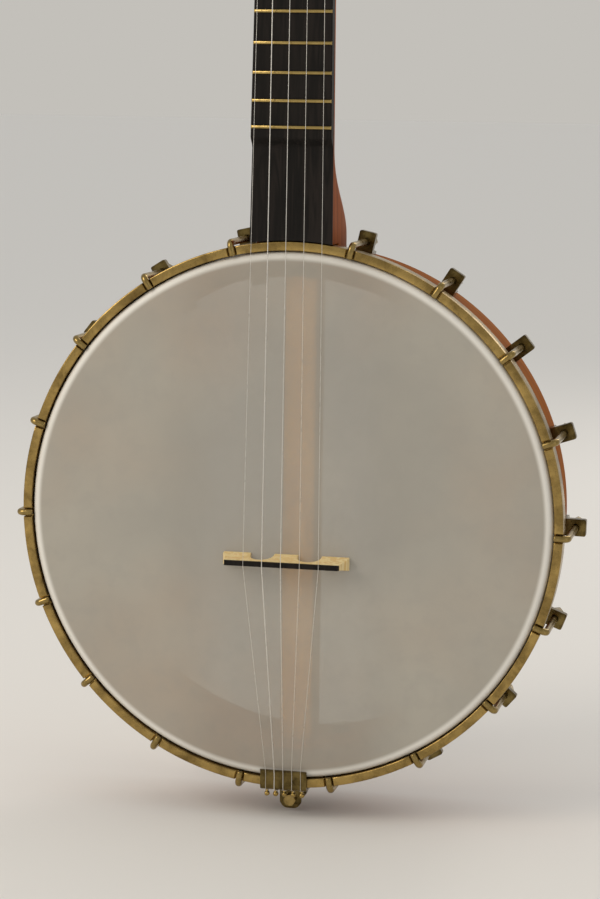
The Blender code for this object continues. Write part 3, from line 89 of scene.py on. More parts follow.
pot = {
    "rimRadius": rimHigh.x,
    "rimWall": 14.3,
    "rimBack": rimHigh.y - potFront,
    "hoopOuter": hoopHigh.x,
    "hoopInner": hoopHigh.x - 5.1,
    "hoopFront": hoopLow.y - potFront,
    "hoopBack": hoopHigh.y - potFront,
    "hookCount": 18,
    "hookGapAtNeck": 25.4,       # degrees
    "segments": 288,
}
rimInner = pot["rimRadius"] - pot["rimWall"]
hoopClear = pot["hoopOuter"] + 2 * gap       # where neck and board end
scale = {
    "length": 660.4,
    "frets": 17,
    "fifthFret": 5,
    "stringDiameters": (0.26, 0.30, 0.41, 0.58, 0.26),
    "nutX": (14.5, 5.8, -2.9, -11.6),
    "bridgeSpacing": 11.0,
    "aboveFrets": 1.0,
}
print("frame loaded")


# Meshes

def wrapped(rows, closed=True):
    # Rows of points, joined each to the next and the last to the first.
    shape = bmesh.new()
    columns = [[shape.verts.new(p) for p in row] for row in rows]
    for here, there in zip(columns, columns[1:] + columns[:1]):
        for k in range(len(here) if closed else len(here) - 1):
            m = (k + 1) % len(here)
            shape.faces.new((here[k], there[k], there[m], here[m]))
    bmesh.ops.remove_doubles(shape, verts=shape.verts, dist=weld)
    return shape


def turned(profile, sides, closed=True):
    # A profile of (radius, height) turned about Z; an open one starts and ends on the axis.
    angles = [2 * pi * i / sides for i in range(sides)]
    return wrapped([[(r * cos(a), r * sin(a), h) for r, h in profile] for a in angles], closed)


def rectangle(left, right, low, high):
    return [(left, low), (right, low), (right, high), (left, high)]


def rod(radius, low, high, sides=40):
    return turned(rectangle(0, radius, low, high), sides, closed=False)


def prism(outline, low, high):
    shape = bmesh.new()
    face = shape.faces.new([shape.verts.new((x, y, low)) for x, y in outline])
    extruded = bmesh.ops.extrude_face_region(shape, geom=[face])["geom"]
    top = [v for v in extruded if isinstance(v, bmesh.types.BMVert)]
    bmesh.ops.translate(shape, verts=top, vec=(0, 0, high - low))
    return shape


def block(x, y, z):
    return prism(rectangle(*x, *y), *z)

def loft(rings):
    shape = bmesh.new()
    rows = [[shape.verts.new(p) for p in ring] for ring in rings]
    for a, b in zip(rows, rows[1:]):
        for i in range(len(a)):
            j = (i + 1) % len(a)
            shape.faces.new((a[i], a[j], b[j], b[i]))
    shape.faces.new(rows[0][::-1])
    shape.faces.new(rows[-1])
    return shape


def tube(path, radii, sides):
    # A round bar along a path, with a radius at each point; its ring turns with the path.
    path = [Vector(p) for p in path]
    ahead = (path[1] - path[0]).normalized()
    side = ahead.orthogonal().normalized()
    rings = []
    for i, p in enumerate(path):
        before = path[max(i - 1, 0)]
        after = path[min(i + 1, len(path) - 1)]
        if (after - before).length > 1e-9:
            newAhead = (after - before).normalized()
            side = ahead.rotation_difference(newAhead) @ side
            side = (side - newAhead * side.dot(newAhead)).normalized()
            ahead = newAhead
        up = ahead.cross(side)
        angles = [2 * pi * k / sides for k in range(sides)]
        rings.append([p + radii[i] * (side * cos(t) + up * sin(t)) for t in angles])
    return loft(rings)


def arc(centre, radius, start, end, steps):
    angles = [radians(start + (end - start) * i / steps) for i in range(steps + 1)]
    return [(centre[0] + radius * cos(a), centre[1] + radius * sin(a)) for a in angles]


def softCorners(outline, cut, steps=3):
    # Each corner of a closed outline becomes a short curve that starts this far from it.
    made = []
    for i, corner in enumerate(outline):
        here = Vector(corner)
        back = Vector(outline[i - 1]) - here
        on = Vector(outline[(i + 1) % len(outline)]) - here
        a = here + back.normalized() * min(cut, back.length * 0.45)
        b = here + on.normalized() * min(cut, on.length * 0.45)
        for k in range(steps + 1):
            t = k / steps
            made.append(tuple(a * (1 - t) ** 2 + here * 2 * t * (1 - t) + b * t * t))
    return made


def smooth(low, high, value):
    t = min(max((value - low) / (high - low), 0), 1)
    return t * t * (3 - 2 * t)


def moved(shape, place):
    bmesh.ops.transform(shape, matrix=place, verts=shape.verts)
    return shape


def joined(*shapes):
    whole = bmesh.new()
    for shape in shapes:
        mesh = bpy.data.meshes.new("joined")
        shape.to_mesh(mesh)
        shape.free()
        whole.from_mesh(mesh)
        bpy.data.meshes.remove(mesh)
    return whole


def plainObject(shape, name):
    bmesh.ops.recalc_face_normals(shape, faces=shape.faces)
    mesh = bpy.data.meshes.new(name)
    shape.to_mesh(mesh)
    shape.free()
    made = bpy.data.objects.new(name, mesh)
    bpy.context.scene.collection.objects.link(made)
    return made


def combined(base, *steps):
    # Booleans in turn, each given as ("UNION", "DIFFERENCE" or "INTERSECT", shape).
    target = plainObject(base, "target")
    for operation, other in steps:
        tool = plainObject(other, "tool")
        boolean = target.modifiers.new("Boolean", "BOOLEAN")
        boolean.operation = operation
        boolean.object = tool
        graph = bpy.context.evaluated_depsgraph_get()
        result = bpy.data.meshes.new_from_object(target.evaluated_get(graph))
        target.modifiers.clear()
        target.data = result
        bpy.data.objects.remove(tool)
    shape = bmesh.new()
    shape.from_mesh(target.data)
    bpy.data.objects.remove(target)
    bmesh.ops.remove_doubles(shape, verts=shape.verts, dist=weld)
    return shape


def addPiece(name, shape, finish, place=None, replaces=(), body="root", bevel=0, crease=35):
    # Finishes a shape as a piece that rides on a body and stands for some CAD nodes.
    made = finishedObject(name, shape, finish, place, bevel, crease)
    settle(made, replaces, body)


def finishedObject(name, shape, finish, place, bevel, crease):
    if place is not None:
        moved(shape, place)
    bmesh.ops.scale(shape, vec=(mm, mm, mm), verts=shape.verts)
    made = plainObject(shape, name)
    made.data.materials.append(finish)
    made.data.shade_smooth()
    made.data.set_sharp_from_angle(angle=radians(crease))
    addBevel(made, bevel)
    return made


def addBevel(made, width):
    if width:
        edge = made.modifiers.new("Bevel", "BEVEL")
        edge.width = width * mm
        edge.segments = 3
        edge.limit_method = "ANGLE"
        edge.angle_limit = radians(38)


def settle(made, replaces, body):
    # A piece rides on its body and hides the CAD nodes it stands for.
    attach(made, body)
    if replaces:
        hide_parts(*replaces)


# Finishes

def linearColor(hexValue):
    channels = [int(hexValue[i:i + 2], 16) / 255 for i in (1, 3, 5)]
    return (*[c / 12.92 if c <= 0.04045 else ((c + 0.055) / 1.055) ** 2.4 for c in channels], 1)


def addNode(tree, kind, links=None, **settings):
    node = tree.nodes.new("ShaderNode" + kind)
    for key, value in settings.items():
        setattr(node, key, value)
    feed(tree, node, links or {})
    return node


def feed(tree, node, links):
    # A socket is linked to its input, and anything else is the input's value.
    for key, value in links.items():
        if isinstance(value, bpy.types.NodeSocket):
            tree.links.new(value, node.inputs[key])
        else:
            node.inputs[key].default_value = value


def startMaterial(name, values):
    made = bpy.data.materials.new(name)
    made.use_nodes = True
    shader = made.node_tree.nodes["Principled BSDF"]
    feed(made.node_tree, shader, values)
    return made, made.node_tree, shader


def objectPlace(tree):
    return addNode(tree, "TexCoord").outputs["Object"]


def mathOf(tree, operation, *values):
    return addNode(tree, "Math", dict(enumerate(values)), operation=operation).outputs[0]


def vectorOf(tree, operation, *values, output=0):
    return addNode(tree, "VectorMath", dict(enumerate(values)), operation=operation).outputs[output]


def noiseOf(tree, place, perMetre, detail, **more):
    return addNode(tree, "TexNoise", {"Vector": place, "Scale": perMetre, "Detail": detail, **more}).outputs[0]


def ranged(tree, value, low, high, start, end, **settings):
    # From start to end while the value goes from low to high.
    return addNode(tree, "MapRange", {0: value, 1: low, 2: high, 3: start, 4: end}, **settings).outputs[0]


def tinted(tree, share, tone, color):
    return addNode(tree, "Mix", {0: share, 6: tone, 7: linearColor(color)}, data_type="RGBA").outputs[2]


def bumped(tree, height, strength, distance, **settings):
    links = {"Strength": strength, "Distance": distance * mm, "Height": height}
    return addNode(tree, "Bump", links, **settings).outputs[0]


def oiledWood(name, wood):
    # Oiled hardwood: long fibres, slow bands of figure, and open pores that hold dark oil.
    made, tree, shader = startMaterial(name, {"Specular IOR Level": wood["shine"]})
    place = objectPlace(tree)
    if "ply" in wood:
        # Round the pot: across the wall, along the bend, through the depth.
        fromCentre = vectorOf(tree, "SUBTRACT", place, (0, 0, potZ * mm))
        parts = addNode(tree, "SeparateXYZ", {0: fromCentre}).outputs
        flat = addNode(tree, "CombineXYZ", {0: parts[0], 1: parts[2]}).outputs[0]
        radius = vectorOf(tree, "LENGTH", flat, output=1)
        along = mathOf(tree, "MULTIPLY", mathOf(tree, "ARCTAN2", parts[0], parts[2]), pot["rimRadius"] * mm)
        place = addNode(tree, "CombineXYZ", {0: radius, 1: parts[1], 2: along}).outputs[0]
    across = 1 / (wood["fibre"] * mm)
    fibrePlace = vectorOf(tree, "MULTIPLY", place, (across, across, across / wood["stretch"]))
    fibre = noiseOf(tree, fibrePlace, 1, 4, Roughness=0.6)
    band = 1 / (wood["figure"] * mm)
    bandPlace = vectorOf(tree, "MULTIPLY", place, (band, band, band / 14))
    bands = noiseOf(tree, bandPlace, 1, 3, Distortion=0.3)
    ripple = mathOf(tree, "SINE", mathOf(tree, "MULTIPLY", bands, wood["rings"]))
    tone = tinted(tree, ranged(tree, ripple, -1, 1, 0, 1), linearColor(wood["dark"]), wood["light"])
    blotch = noiseOf(tree, place, 22, 2)     # about 45 mm across
    tone = tinted(tree, ranged(tree, blotch, 0.35, 0.7, 0, 0.6), tone, wood["middle"])
    tone = tinted(tree, ranged(tree, fibre, 0.56, 0.72, 0, wood["pores"]), tone, wood["pore"])
    if "ply" in wood:
        # Glue lines between the bent plies, wider than real ones so that they show.
        depthIn = mathOf(tree, "SUBTRACT", radius, rimInner * mm)
        turns = mathOf(tree, "MODULO", depthIn, wood["ply"] * mm)
        line = ranged(tree, turns, 0.15 * mm, 0.4 * mm, 0.75, 0)
        wall = mathOf(tree, "GREATER_THAN", depthIn, 2 * mm)
        skin = mathOf(tree, "LESS_THAN", depthIn, (pot["rimWall"] - 1.5) * mm)
        share = mathOf(tree, "MULTIPLY", line, mathOf(tree, "MULTIPLY", wall, skin))
        tone = tinted(tree, share, tone, wood["pore"])
    feed(tree, shader, {
        "Base Color": tone,
        "Roughness": ranged(tree, fibre, 0.3, 0.7, wood["rough"] - 0.06, wood["rough"] + 0.1),
        "Normal": bumped(tree, fibre, 0.35, 0.12, invert=True)})
    return made


# Fibres and pores are drawn 0.4 to 0.5 mm across, about twice life size, so that they show.
bentCherry = oiledWood("bentCherryOiled", {
    "dark": "#7d4110", "light": "#9b5919", "middle": "#8e4d14", "pore": "#4f280e", "fibre": 0.5,
    "stretch": 45, "figure": 12, "rings": 16, "pores": 0.45, "rough": 0.55, "shine": 0.015, "ply": 4.77})
neckCherry = oiledWood("neckCherryOiled", {
    "dark": "#763a14", "light": "#924d20", "middle": "#864419", "pore": "#4a220e", "fibre": 0.5,
    "stretch": 50, "figure": 12, "rings": 16, "pores": 0.45, "rough": 0.5, "shine": 0.04})
stickMaple = oiledWood("stickMapleStained", {
    "dark": "#b57a24", "light": "#cf9434", "middle": "#c48a2c", "pore": "#7c5220", "fibre": 0.5,
    "stretch": 40, "figure": 10, "rings": 14, "pores": 0.25, "rough": 0.46, "shine": 0.2})
boardEbony = oiledWood("boardEbonyRubbed", {
    "dark": "#13110f", "light": "#221d1a", "middle": "#191613", "pore": "#0b0a09", "fibre": 0.45,
    "stretch": 60, "figure": 6, "rings": 24, "pores": 0.6, "rough": 0.52, "shine": 0.12})
bridgeMaple = oiledWood("bridgeMapleScraped", {
    "dark": "#dcba7a", "light": "#eedaa6", "middle": "#e6cb90", "pore": "#b8935c", "fibre": 0.4,
    "stretch": 12, "figure": 5, "rings": 24, "pores": 0.3, "rough": 0.48, "shine": 0.35})


def agedBrass(name, brass):
    # Lacquer-free brass: polished where hands and strings reach it, brown and duller in between.
    made, tree, shader = startMaterial(name, {"Metallic": 1})
    place = objectPlace(tree)
    cloud = noiseOf(tree, place, 1 / (brass["patch"] * mm), 5, Roughness=0.62, Distortion=0.3)
    speck = noiseOf(tree, place, 1 / (0.9 * mm), 3)
    share = ranged(tree, cloud, 0.36, 0.66, 0, brass["tarnish"])
    tone = tinted(tree, share, linearColor(brass["bright"]), brass["dull"])
    share = ranged(tree, speck, 0.6, 0.74, 0, brass["tarnish"] * 0.7)
    tone = tinted(tree, share, tone, brass["spot"])
    if "flank" in brass:
        # Strings and fingers keep the crown bright, while the flanks, which face along Z, are drawn near-black
        # brown: painted shade over some tarnish.
        normal = addNode(tree, "NewGeometry").outputs["Normal"]
        steep = mathOf(tree, "ABSOLUTE", addNode(tree, "SeparateXYZ", {0: normal}).outputs[2])
        tone = tinted(tree, ranged(tree, steep, 0.4, 0.7, 0, 0.9), tone, brass["flank"])
    feed(tree, shader, {
        "Base Color": tone,
        "Roughness": ranged(tree, cloud, 0.3, 0.7, brass["smooth"], brass["rough"]),
        "Normal": bumped(tree, speck, 0.2, 0.05)})
    return made


hoopBrass = agedBrass("hoopBrassRolled", {
    "bright": "#b3975b", "dull": "#6e5a33", "spot": "#45351a", "patch": 14, "tarnish": 0.95,
    "smooth": 0.2, "rough": 0.34})
hookBrass = agedBrass("hookBrassBent", {
    "bright": "#b39a62", "dull": "#6b5a31", "spot": "#43361a", "patch": 7, "tarnish": 0.85,
    "smooth": 0.16, "rough": 0.32})
shoeBrass = agedBrass("shoeBrassStamped", {
    "bright": "#7a693f", "dull": "#463a20", "spot": "#2c2312", "patch": 6, "tarnish": 0.9,
    "smooth": 0.16, "rough": 0.3})
tunerBrass = agedBrass("tunerBrassTurned", {
    "bright": "#b69b5b", "dull": "#81693a", "spot": "#5b482a", "patch": 8, "tarnish": 0.6,
    "smooth": 0.16, "rough": 0.3})
# The frets' flank colour is painted shade on their sides.
fretBrass = agedBrass("fretBrassDrawn", {
    "bright": "#b59d63", "dull": "#917a46", "spot": "#6e592f", "patch": 5, "tarnish": 0.5,
    "smooth": 0.22, "rough": 0.34, "flank": "#2b2214"})


def frostedFilm():
    # Polyester film with a frosted top: cloudy, matt, and thin enough to show the stick behind
    # as a warm band.
    # The edge colour is a painted highlight on the film's roll-over.
    film = {"pale": "#aca699", "grey": "#9c988e", "warm": "#ab9b89", "edge": "#e8e4da", "cloud": 95,
            "warmth": 170, "mottle": 9, "grain": 0.45, "paintedHighlightFrom": 147, "paintedHighlightTo": 150, "worn": 0.72,
            "sound": 0.93, "wornTo": 34, "soundFrom": 78}
    made, tree, shader = startMaterial("frostedPolyesterFilm", {"Roughness": 0.5, "IOR": 1.5})
    place = objectPlace(tree)
    tone = linearColor(film["pale"])
    layers = (("cloud", "grey", 0.35, 0.65, 0.7, 1.0), ("warmth", "warm", 0.45, 0.68, 0.7, 3.0),
              ("mottle", "grey", 0.45, 0.75, 0.3, 0.0))
    for size, color, low, high, most, shift in layers:
        # Each layer is a noise of its own size, shifted so that no two lie over one another.
        spot = vectorOf(tree, "ADD", place, (shift, shift, shift))
        spots = noiseOf(tree, spot, 1 / (film[size] * mm), 3, Roughness=0.55)
        tone = tinted(tree, ranged(tree, spots, low, high, 0, most), tone, film[color])
    # Painted highlight: the film is drawn paler all round where it rolls over the tone ring, in place of the
    # light caught there.
    soft = {"interpolation_type": "SMOOTHSTEP"}
    fromCentre = vectorOf(tree, "DISTANCE", place, (0, potFront * mm, potZ * mm), output=1)
    share = ranged(tree, fromCentre, film["paintedHighlightFrom"] * mm, film["paintedHighlightTo"] * mm, 0, 0.95, **soft)
    # The frost is worn thin under the strings, where the stick shows through.
    sideways = mathOf(tree, "ABSOLUTE", addNode(tree, "SeparateXYZ", {0: place}).outputs[0])
    cover = ranged(tree, sideways, film["wornTo"] * mm, film["soundFrom"] * mm, film["worn"],
                   film["sound"], **soft)
    grain = noiseOf(tree, place, 1 / (film["grain"] * mm), 2)
    feed(tree, shader, {"Base Color": tinted(tree, share, tone, film["edge"]), "Alpha": cover,
                        "Normal": bumped(tree, grain, 0.25, 0.06)})
    return made


headFilm = frostedFilm()


def flecked(name, fleck):
    # Bone or celluloid: a pale body with soft deeper streaks or clouds and a polished skin.
    made, tree, shader = startMaterial(name, {
        "Roughness": fleck["rough"], "IOR": fleck["ior"], "Subsurface Weight": 0.15,
        "Subsurface Scale": 2 * mm})
    place = vectorOf(tree, "MULTIPLY", objectPlace(tree), fleck["perMetre"])
    streaks = noiseOf(tree, place, 1, 5, Distortion=0.7)
    share = ranged(tree, streaks, 0.38, 0.66, 0, 1)
    feed(tree, shader, {"Base Color": tinted(tree, share, linearColor(fleck["pale"]), fleck["deep"]),
                        "Normal": bumped(tree, streaks, 0.1, 0.05)})
    return made


bonePolished = flecked("bonePolished", {
    "pale": "#e6dcc3", "deep": "#cdbd98", "rough": 0.34, "ior": 1.56, "perMetre": (900, 1500, 300)})
celluloidTurned = flecked("celluloidTurned", {
    "pale": "#e5dcc8", "deep": "#c6b897", "rough": 0.22, "ior": 1.5, "perMetre": (160, 420, 160)})


def brightSteel(name, steel):
    # Drawn or turned steel: grey, with fine lines left by the die or the tool.
    made, tree, shader = startMaterial(name, {"Metallic": 1})
    lines = noiseOf(tree, vectorOf(tree, "MULTIPLY", objectPlace(tree), steel["perMetre"]), 1, 3)
    feed(tree, shader, {
        "Base Color": tinted(tree, lines, linearColor(steel["pale"]), steel["deep"]),
        "Roughness": ranged(tree, lines, 0.3, 0.7, steel["smooth"], steel["rough"])})
    return made


stringSteel = brightSteel("stringSteelDrawn", {
    "pale": "#f2efe9", "deep": "#dcd8d0", "perMetre": (3000, 3000, 200), "smooth": 0.24, "rough": 0.38})
screwSteel = brightSteel("screwSteelTurned", {
    "pale": "#b5b4b1", "deep": "#83817d", "perMetre": (1500, 300, 1500), "smooth": 0.25, "rough": 0.42})
print("finishes made")


# Pot

def potTurned(profile, closed=True):
    return moved(turned(profile, pot["segments"], closed), alongDepth)


toneRing = {"section": 3.2, "film": 0.5, "setIn": 0.2, "sides": 24}
toneRadius = pot["rimRadius"] - toneRing["section"] - toneRing["setIn"]
toneDepth = toneRing["film"] + gap + toneRing["section"]


def makeRim():
    rim = {"front": toneDepth + toneRing["section"] + gap, "relief": 0.5, "reliefDepth": 18, "edge": 2.2}
    outer, back = pot["rimRadius"], pot["rimBack"]
    top = outer - rim["relief"]
    outline = [(rimInner, rim["front"]), (top, rim["front"]), (top, rim["reliefDepth"] - rim["relief"]),
               (outer, rim["reliefDepth"]), (outer, back), (rimInner, back)]
    addPiece("rimBentPlies", potTurned(softCorners(outline, rim["edge"], 4)), bentCherry, potPlace, ["rim"])


def makeHead():
    head = {"collarOut": 1.0, "fleshHeight": 3.7, "fleshWidth": 3.6, "flare": 0.6, "flareDepth": 1,
            "ringStep": 12}
    film, step = toneRing["film"], head["ringStep"]
    inner = toneRing["section"] + gap
    outer = inner + film
    wall = toneRadius + outer
    lip = pot["hoopBack"] + gap + head["fleshHeight"] + gap
    bend = lip - head["flareDepth"]
    edge = pot["hoopOuter"] - head["collarOut"]
    centre = (toneRadius, toneDepth)
    profile = [(r, 0) for r in range(0, int(toneRadius), step)] + arc(centre, outer, -90, 0, 10)
    profile += [(wall, bend), (wall + head["flare"], lip), (edge, lip), (edge, lip + film), (wall, lip + film),
                (wall - film, bend)]
    profile += arc(centre, inner, 0, -90, 10) + [(r, film) for r in range(int(toneRadius) - 5, 0, -step)]
    profile.append((0, film))
    addPiece("headFilm", potTurned(profile, closed=False), headFilm, potPlace, ["head"])
    sides = toneRing["sides"]
    ring = arc(centre, toneRing["section"], 0, 360 - 360 / sides, sides - 1)
    addPiece("toneRingRod", potTurned(ring), tunerBrass, potPlace, ["tone_ring"])
    low, start = pot["hoopBack"] + gap, wall + gap
    band = softCorners(rectangle(start, start + head["fleshWidth"], low, low + head["fleshHeight"]), 0.5)
    addPiece("fleshHoopBand", potTurned(band), shoeBrass, potPlace, ["flesh_hoop"])


hoop = {"notchWidth": 5.0, "notchDepth": 3.0, "edge": 0.7, "chamfer": 0.4, "stepDegrees": 1.25}


def hookAngles():
    step = (360 - pot["hookGapAtNeck"]) / (pot["hookCount"] - 1)
    return [pot["hookGapAtNeck"] / 2 + step * i for i in range(pot["hookCount"])]


def makeHoop():
    # One band whose front drops to the floor of a notch under each hook.
    front = pot["hoopFront"]
    section = rectangle(pot["hoopInner"], pot["hoopOuter"], front, pot["hoopBack"])
    section = softCorners(section, hoop["edge"], 3)
    middle = (pot["hoopInner"] + pot["hoopOuter"]) / 2
    half = degreesAt(hoop["notchWidth"] / 2, middle)
    edge = degreesAt(hoop["notchWidth"] / 2 + hoop["chamfer"], middle)
    stations = []
    angles = hookAngles()
    for angle, after in zip(angles, angles[1:] + [angles[0] + 360]):
        notch = [(-edge, 0), (-half, hoop["chamfer"]), (-half, hoop["notchDepth"])]
        notch += [(-turn, drop) for turn, drop in notch[::-1]]
        stations += [(angle + turn, drop) for turn, drop in notch]
        steps = max(int((after - angle) / hoop["stepDegrees"]), 2)
        span = after - angle - 2 * edge
        stations += [(angle + edge + span * k / steps, 0) for k in range(1, steps)]
    rows = [[(r * sin(radians(angle)), max(depth, front + drop), r * cos(radians(angle)))
             for r, depth in section] for angle, drop in stations]
    addPiece("hoopBand", wrapped(rows), hoopBrass, potPlace, ["tension_hoop"])


def degreesAt(length, radius):
    return length / radius * 180 / pi


makeRim()
makeHead()
makeHoop()
print("pot made")


# Hooks, shoes, nuts and the bolts through the rim

bracket = {
    "hookRadius": 2.0, "bend": 2.8, "hookEnd": 58.5, "hookAxis": pot["hoopOuter"] + 2.6,
    "shoeFront": 41.0, "lug": 4.6, "width": 9.9, "reach": 6.0, "base": 3.0, "length": 18.0,
    "nutFlats": 8.0, "nutLength": 8.0, "threadPitch": 1.1, "washer": 0.8,
    "boltRadius": 2.2, "boltFlats": 9.0, "boltHead": 3.6, "boltFromBack": 7.5, "washerOut": 4.7,
    "boltWasherOut": 5.6,
}


def chamferedHex(flats, low, high, hole=0):
    # A hexagon whose corners are turned off at its ends, with a hole if one is given.
    corner = flats / sqrt(3)
    cut = corner - flats / 2
    edge, past = corner + 0.1, 0.01
    shape = prism([(corner * cos(radians(60 * i)), corner * sin(radians(60 * i))) for i in range(6)], low, high)
    lens = turned([(0, low - past), (flats / 2, low - past), (edge, low + cut), (edge, high - cut),
                   (flats / 2, high + past), (0, high + past)], 48, closed=False)
    steps = [("INTERSECT", lens)]
    if hole:
        steps.append(("DIFFERENCE", rod(hole, low - 1, high + 1, 24)))
    return combined(shape, *steps)


def hookShape():
    # A bent rod: rounded tip, claw over the hoop, one bend, then a shaft that ends in a thread.
    claw = pot["hoopFront"] + hoop["notchDepth"] - gap - bracket["hookRadius"]
    axis, bend, r = bracket["hookAxis"], bracket["bend"], bracket["hookRadius"]
    tip = pot["hoopInner"] - 0.3
    path = [(tip + r * (1 - cos(radians(a))) * 0.45, claw) for a in (0, 30, 60, 90)]
    radii = [r * max(sin(radians(a)), 0.25) for a in (14, 45, 70, 90)]
    turn = arc((axis - bend, claw + bend), bend, -90, 0, 10)
    path += turn
    radii += [r] * len(turn)
    threadStart = bracket["shoeFront"] + bracket["lug"] + bracket["nutLength"] - 0.5
    path += [(axis, claw + bend + 6), (axis, threadStart)]
    radii += [r, r]
    steps = int((bracket["hookEnd"] - threadStart) / (bracket["threadPitch"] / 2))
    for i in range(1, steps + 1):
        path.append((axis, threadStart + (bracket["hookEnd"] - threadStart) * i / steps))
        radii.append(r - (0.35 if i % 2 else 0.05) - (0.3 if i == steps else 0))
    return tube([(0, d, radius) for radius, d in path], radii, 20)


def shoeShape():
    # A stamped L: the base follows the rim, and the hook passes through the lug.
    seat = pot["rimRadius"] + gap + 0.1
    axis = bracket["hookAxis"]
    front, half = bracket["shoeFront"], bracket["width"] / 2
    back = front + bracket["length"]
    lug = softCorners(rectangle(-half, half, seat, axis + bracket["reach"]), 1.3, 4)
    lug = moved(prism(lug, front, front + bracket["lug"]), axes((1, 0, 0), (0, 0, 1), (0, 1, 0)))
    outline = [(-half, front + 1), (half, front + 1), (half, back - half * 0.9)]
    outline += [(half * cos(radians(a)), back - half + half * sin(radians(a))) for a in range(12, 180, 12)]
    outline.append((-half, back - half * 0.9))
    base = prism(outline, seat, seat + bracket["base"])
    hole = moved(rod(bracket["hookRadius"] + 0.35, -4, 4, 32), at(0, front + 2, axis) @ alongDepth)
    return combined(lug, ("UNION", base), ("DIFFERENCE", hole))


def boltShape():
    # The bolt's hexagonal head and its washer, inside the rim.
    depth = bracket["shoeFront"] + bracket["length"] - bracket["boltFromBack"]
    seat = sqrt(rimInner ** 2 - (bracket["boltFlats"] * 0.62) ** 2) - gap
    under = seat - bracket["washer"]
    head = chamferedHex(bracket["boltFlats"], under - bracket["boltHead"], under)
    bore, rim, soft = bracket["boltRadius"], bracket["boltWasherOut"], 0.2
    washer = turned([(bore, under), (rim - soft, under), (rim, seat - soft), (rim, seat), (bore, seat)], 40)
    return moved(joined(head, washer), at(0, depth, 0))


def nutShape():
    low = bracket["shoeFront"] + bracket["lug"] + bracket["washer"]
    nut = chamferedHex(bracket["nutFlats"], low, low + bracket["nutLength"], bracket["hookRadius"])
    bore, rim = bracket["hookRadius"] + 0.2, bracket["washerOut"]
    washer = turned(rectangle(bore, rim, low - bracket["washer"], low), 40)
    return moved(joined(nut, washer), at(0, 0, bracket["hookAxis"]) @ alongDepth)


def makeBrackets():
    kinds = (("hook", hookShape, hookBrass, 0, 40), ("shoe", shoeShape, shoeBrass, 0.35, 35),
             ("hookNut", nutShape, hookBrass, 0.15, 25), ("shoeBolt", boltShape, shoeBrass, 0.15, 25))
    # Each kind is made once, and the other 17 share its mesh.
    for kind, shapeOf, finish, bevel, crease in kinds:
        for number, angle in enumerate(hookAngles(), 1):
            node = f"bracket_{number:02d}"
            name = f"{kind}_{number:02d}"
            if number == 1:
                made = finishedObject(name, shapeOf(), finish, None, bevel, crease)
                mesh = made.data
            else:
                made = bpy.data.objects.new(name, mesh)
                bpy.context.scene.collection.objects.link(made)
                addBevel(made, bevel)
            made.matrix_world = at(*potPlace.translation * mm) @ spun(angle, "Y")
            settle(made, [node] if kind == "hook" else [], "root")


makeBrackets()
print("brackets made")


# Dowel stick, brace and end bolt

stick = {"width": 19.6, "thick": 22.0, "front": 30.0, "edge": 2.0}
stickMiddle = stick["front"] + stick["thick"] / 2


def makeStick():
    half = stick["width"] / 2
    end = sqrt(rimInner ** 2 - half ** 2) - gap
    outline = rectangle(-half, half, stick["front"], stick["front"] + stick["thick"])
    bar = prism(softCorners(outline, stick["edge"], 5), -end, end)
    addPiece("stickBar", bar, stickMaple, potPlace, ["dowel_stick"], bevel=0.4)


def makeBrace():
    brace = {"thick": 3.0, "width": 16.0, "length": 26.0, "foot": 13.0, "screwIn": 8.0, "slot": 0.8}
    half = brace["width"] / 2
    face = sqrt(rimInner ** 2 - half ** 2) - gap
    low = stick["front"] + stick["thick"] + gap
    seat = low + brace["thick"]
    start = rimInner - brace["length"]
    inside = face - brace["thick"]
    outline = [(start, low), (start, seat), (inside, seat), (inside, low + brace["foot"]),
               (face, low + brace["foot"]), (face, low)]
    angleIron = moved(prism(outline, -half, half), axes((0, 0, 1), (0, 1, 0), (1, 0, 0)))
    addPiece("braceAngle", angleIron, shoeBrass, potPlace, ["neck_brace"], bevel=0.5)
    dome = [(0, -3), (1.7, -3), (1.7, 0.1), (3.7, 0.1), (3.6, 0.9), (3.0, 1.7), (1.9, 2.3), (0, 2.6)]
    screw = moved(turned([(r, seat + h) for r, h in dome], 40, closed=False), alongDepth)
    slot = block((-brace["slot"] / 2, brace["slot"] / 2), (seat + 1.5, seat + 4), (-5, 5))
    screw = combined(screw, ("DIFFERENCE", slot))
    screwPlace = potPlace @ at(0, 0, start + brace["screwIn"])
    addPiece("braceScrew", screw, screwSteel, screwPlace, ["brace_screw"])


tail = {"width": 27.5, "thick": 1.2, "bend": 1.2, "lip": 4.2, "leg": 20.0, "tab": 13.0, "tabReach": 16.0,
        "pinSpacing": 5.2, "pin": 0.9, "ball": 1.6, "pinLength": 3.4, "pinBehind": 2.6, "bolt": 1.8,
        "boltFromEdge": 5.5, "boltFlats": 6.5, "boltHead": 3.2, "boltEnd": 12, "nutFlats": 7.3, "nutThick": 5,
        "nutBehind": 2.5}
tailInner = pot["hoopOuter"] + 0.5
tailBack = pot["hoopFront"] - gap
tailReach = tailInner + tail["thick"] + tail["tabReach"] - tail["boltFromEdge"]


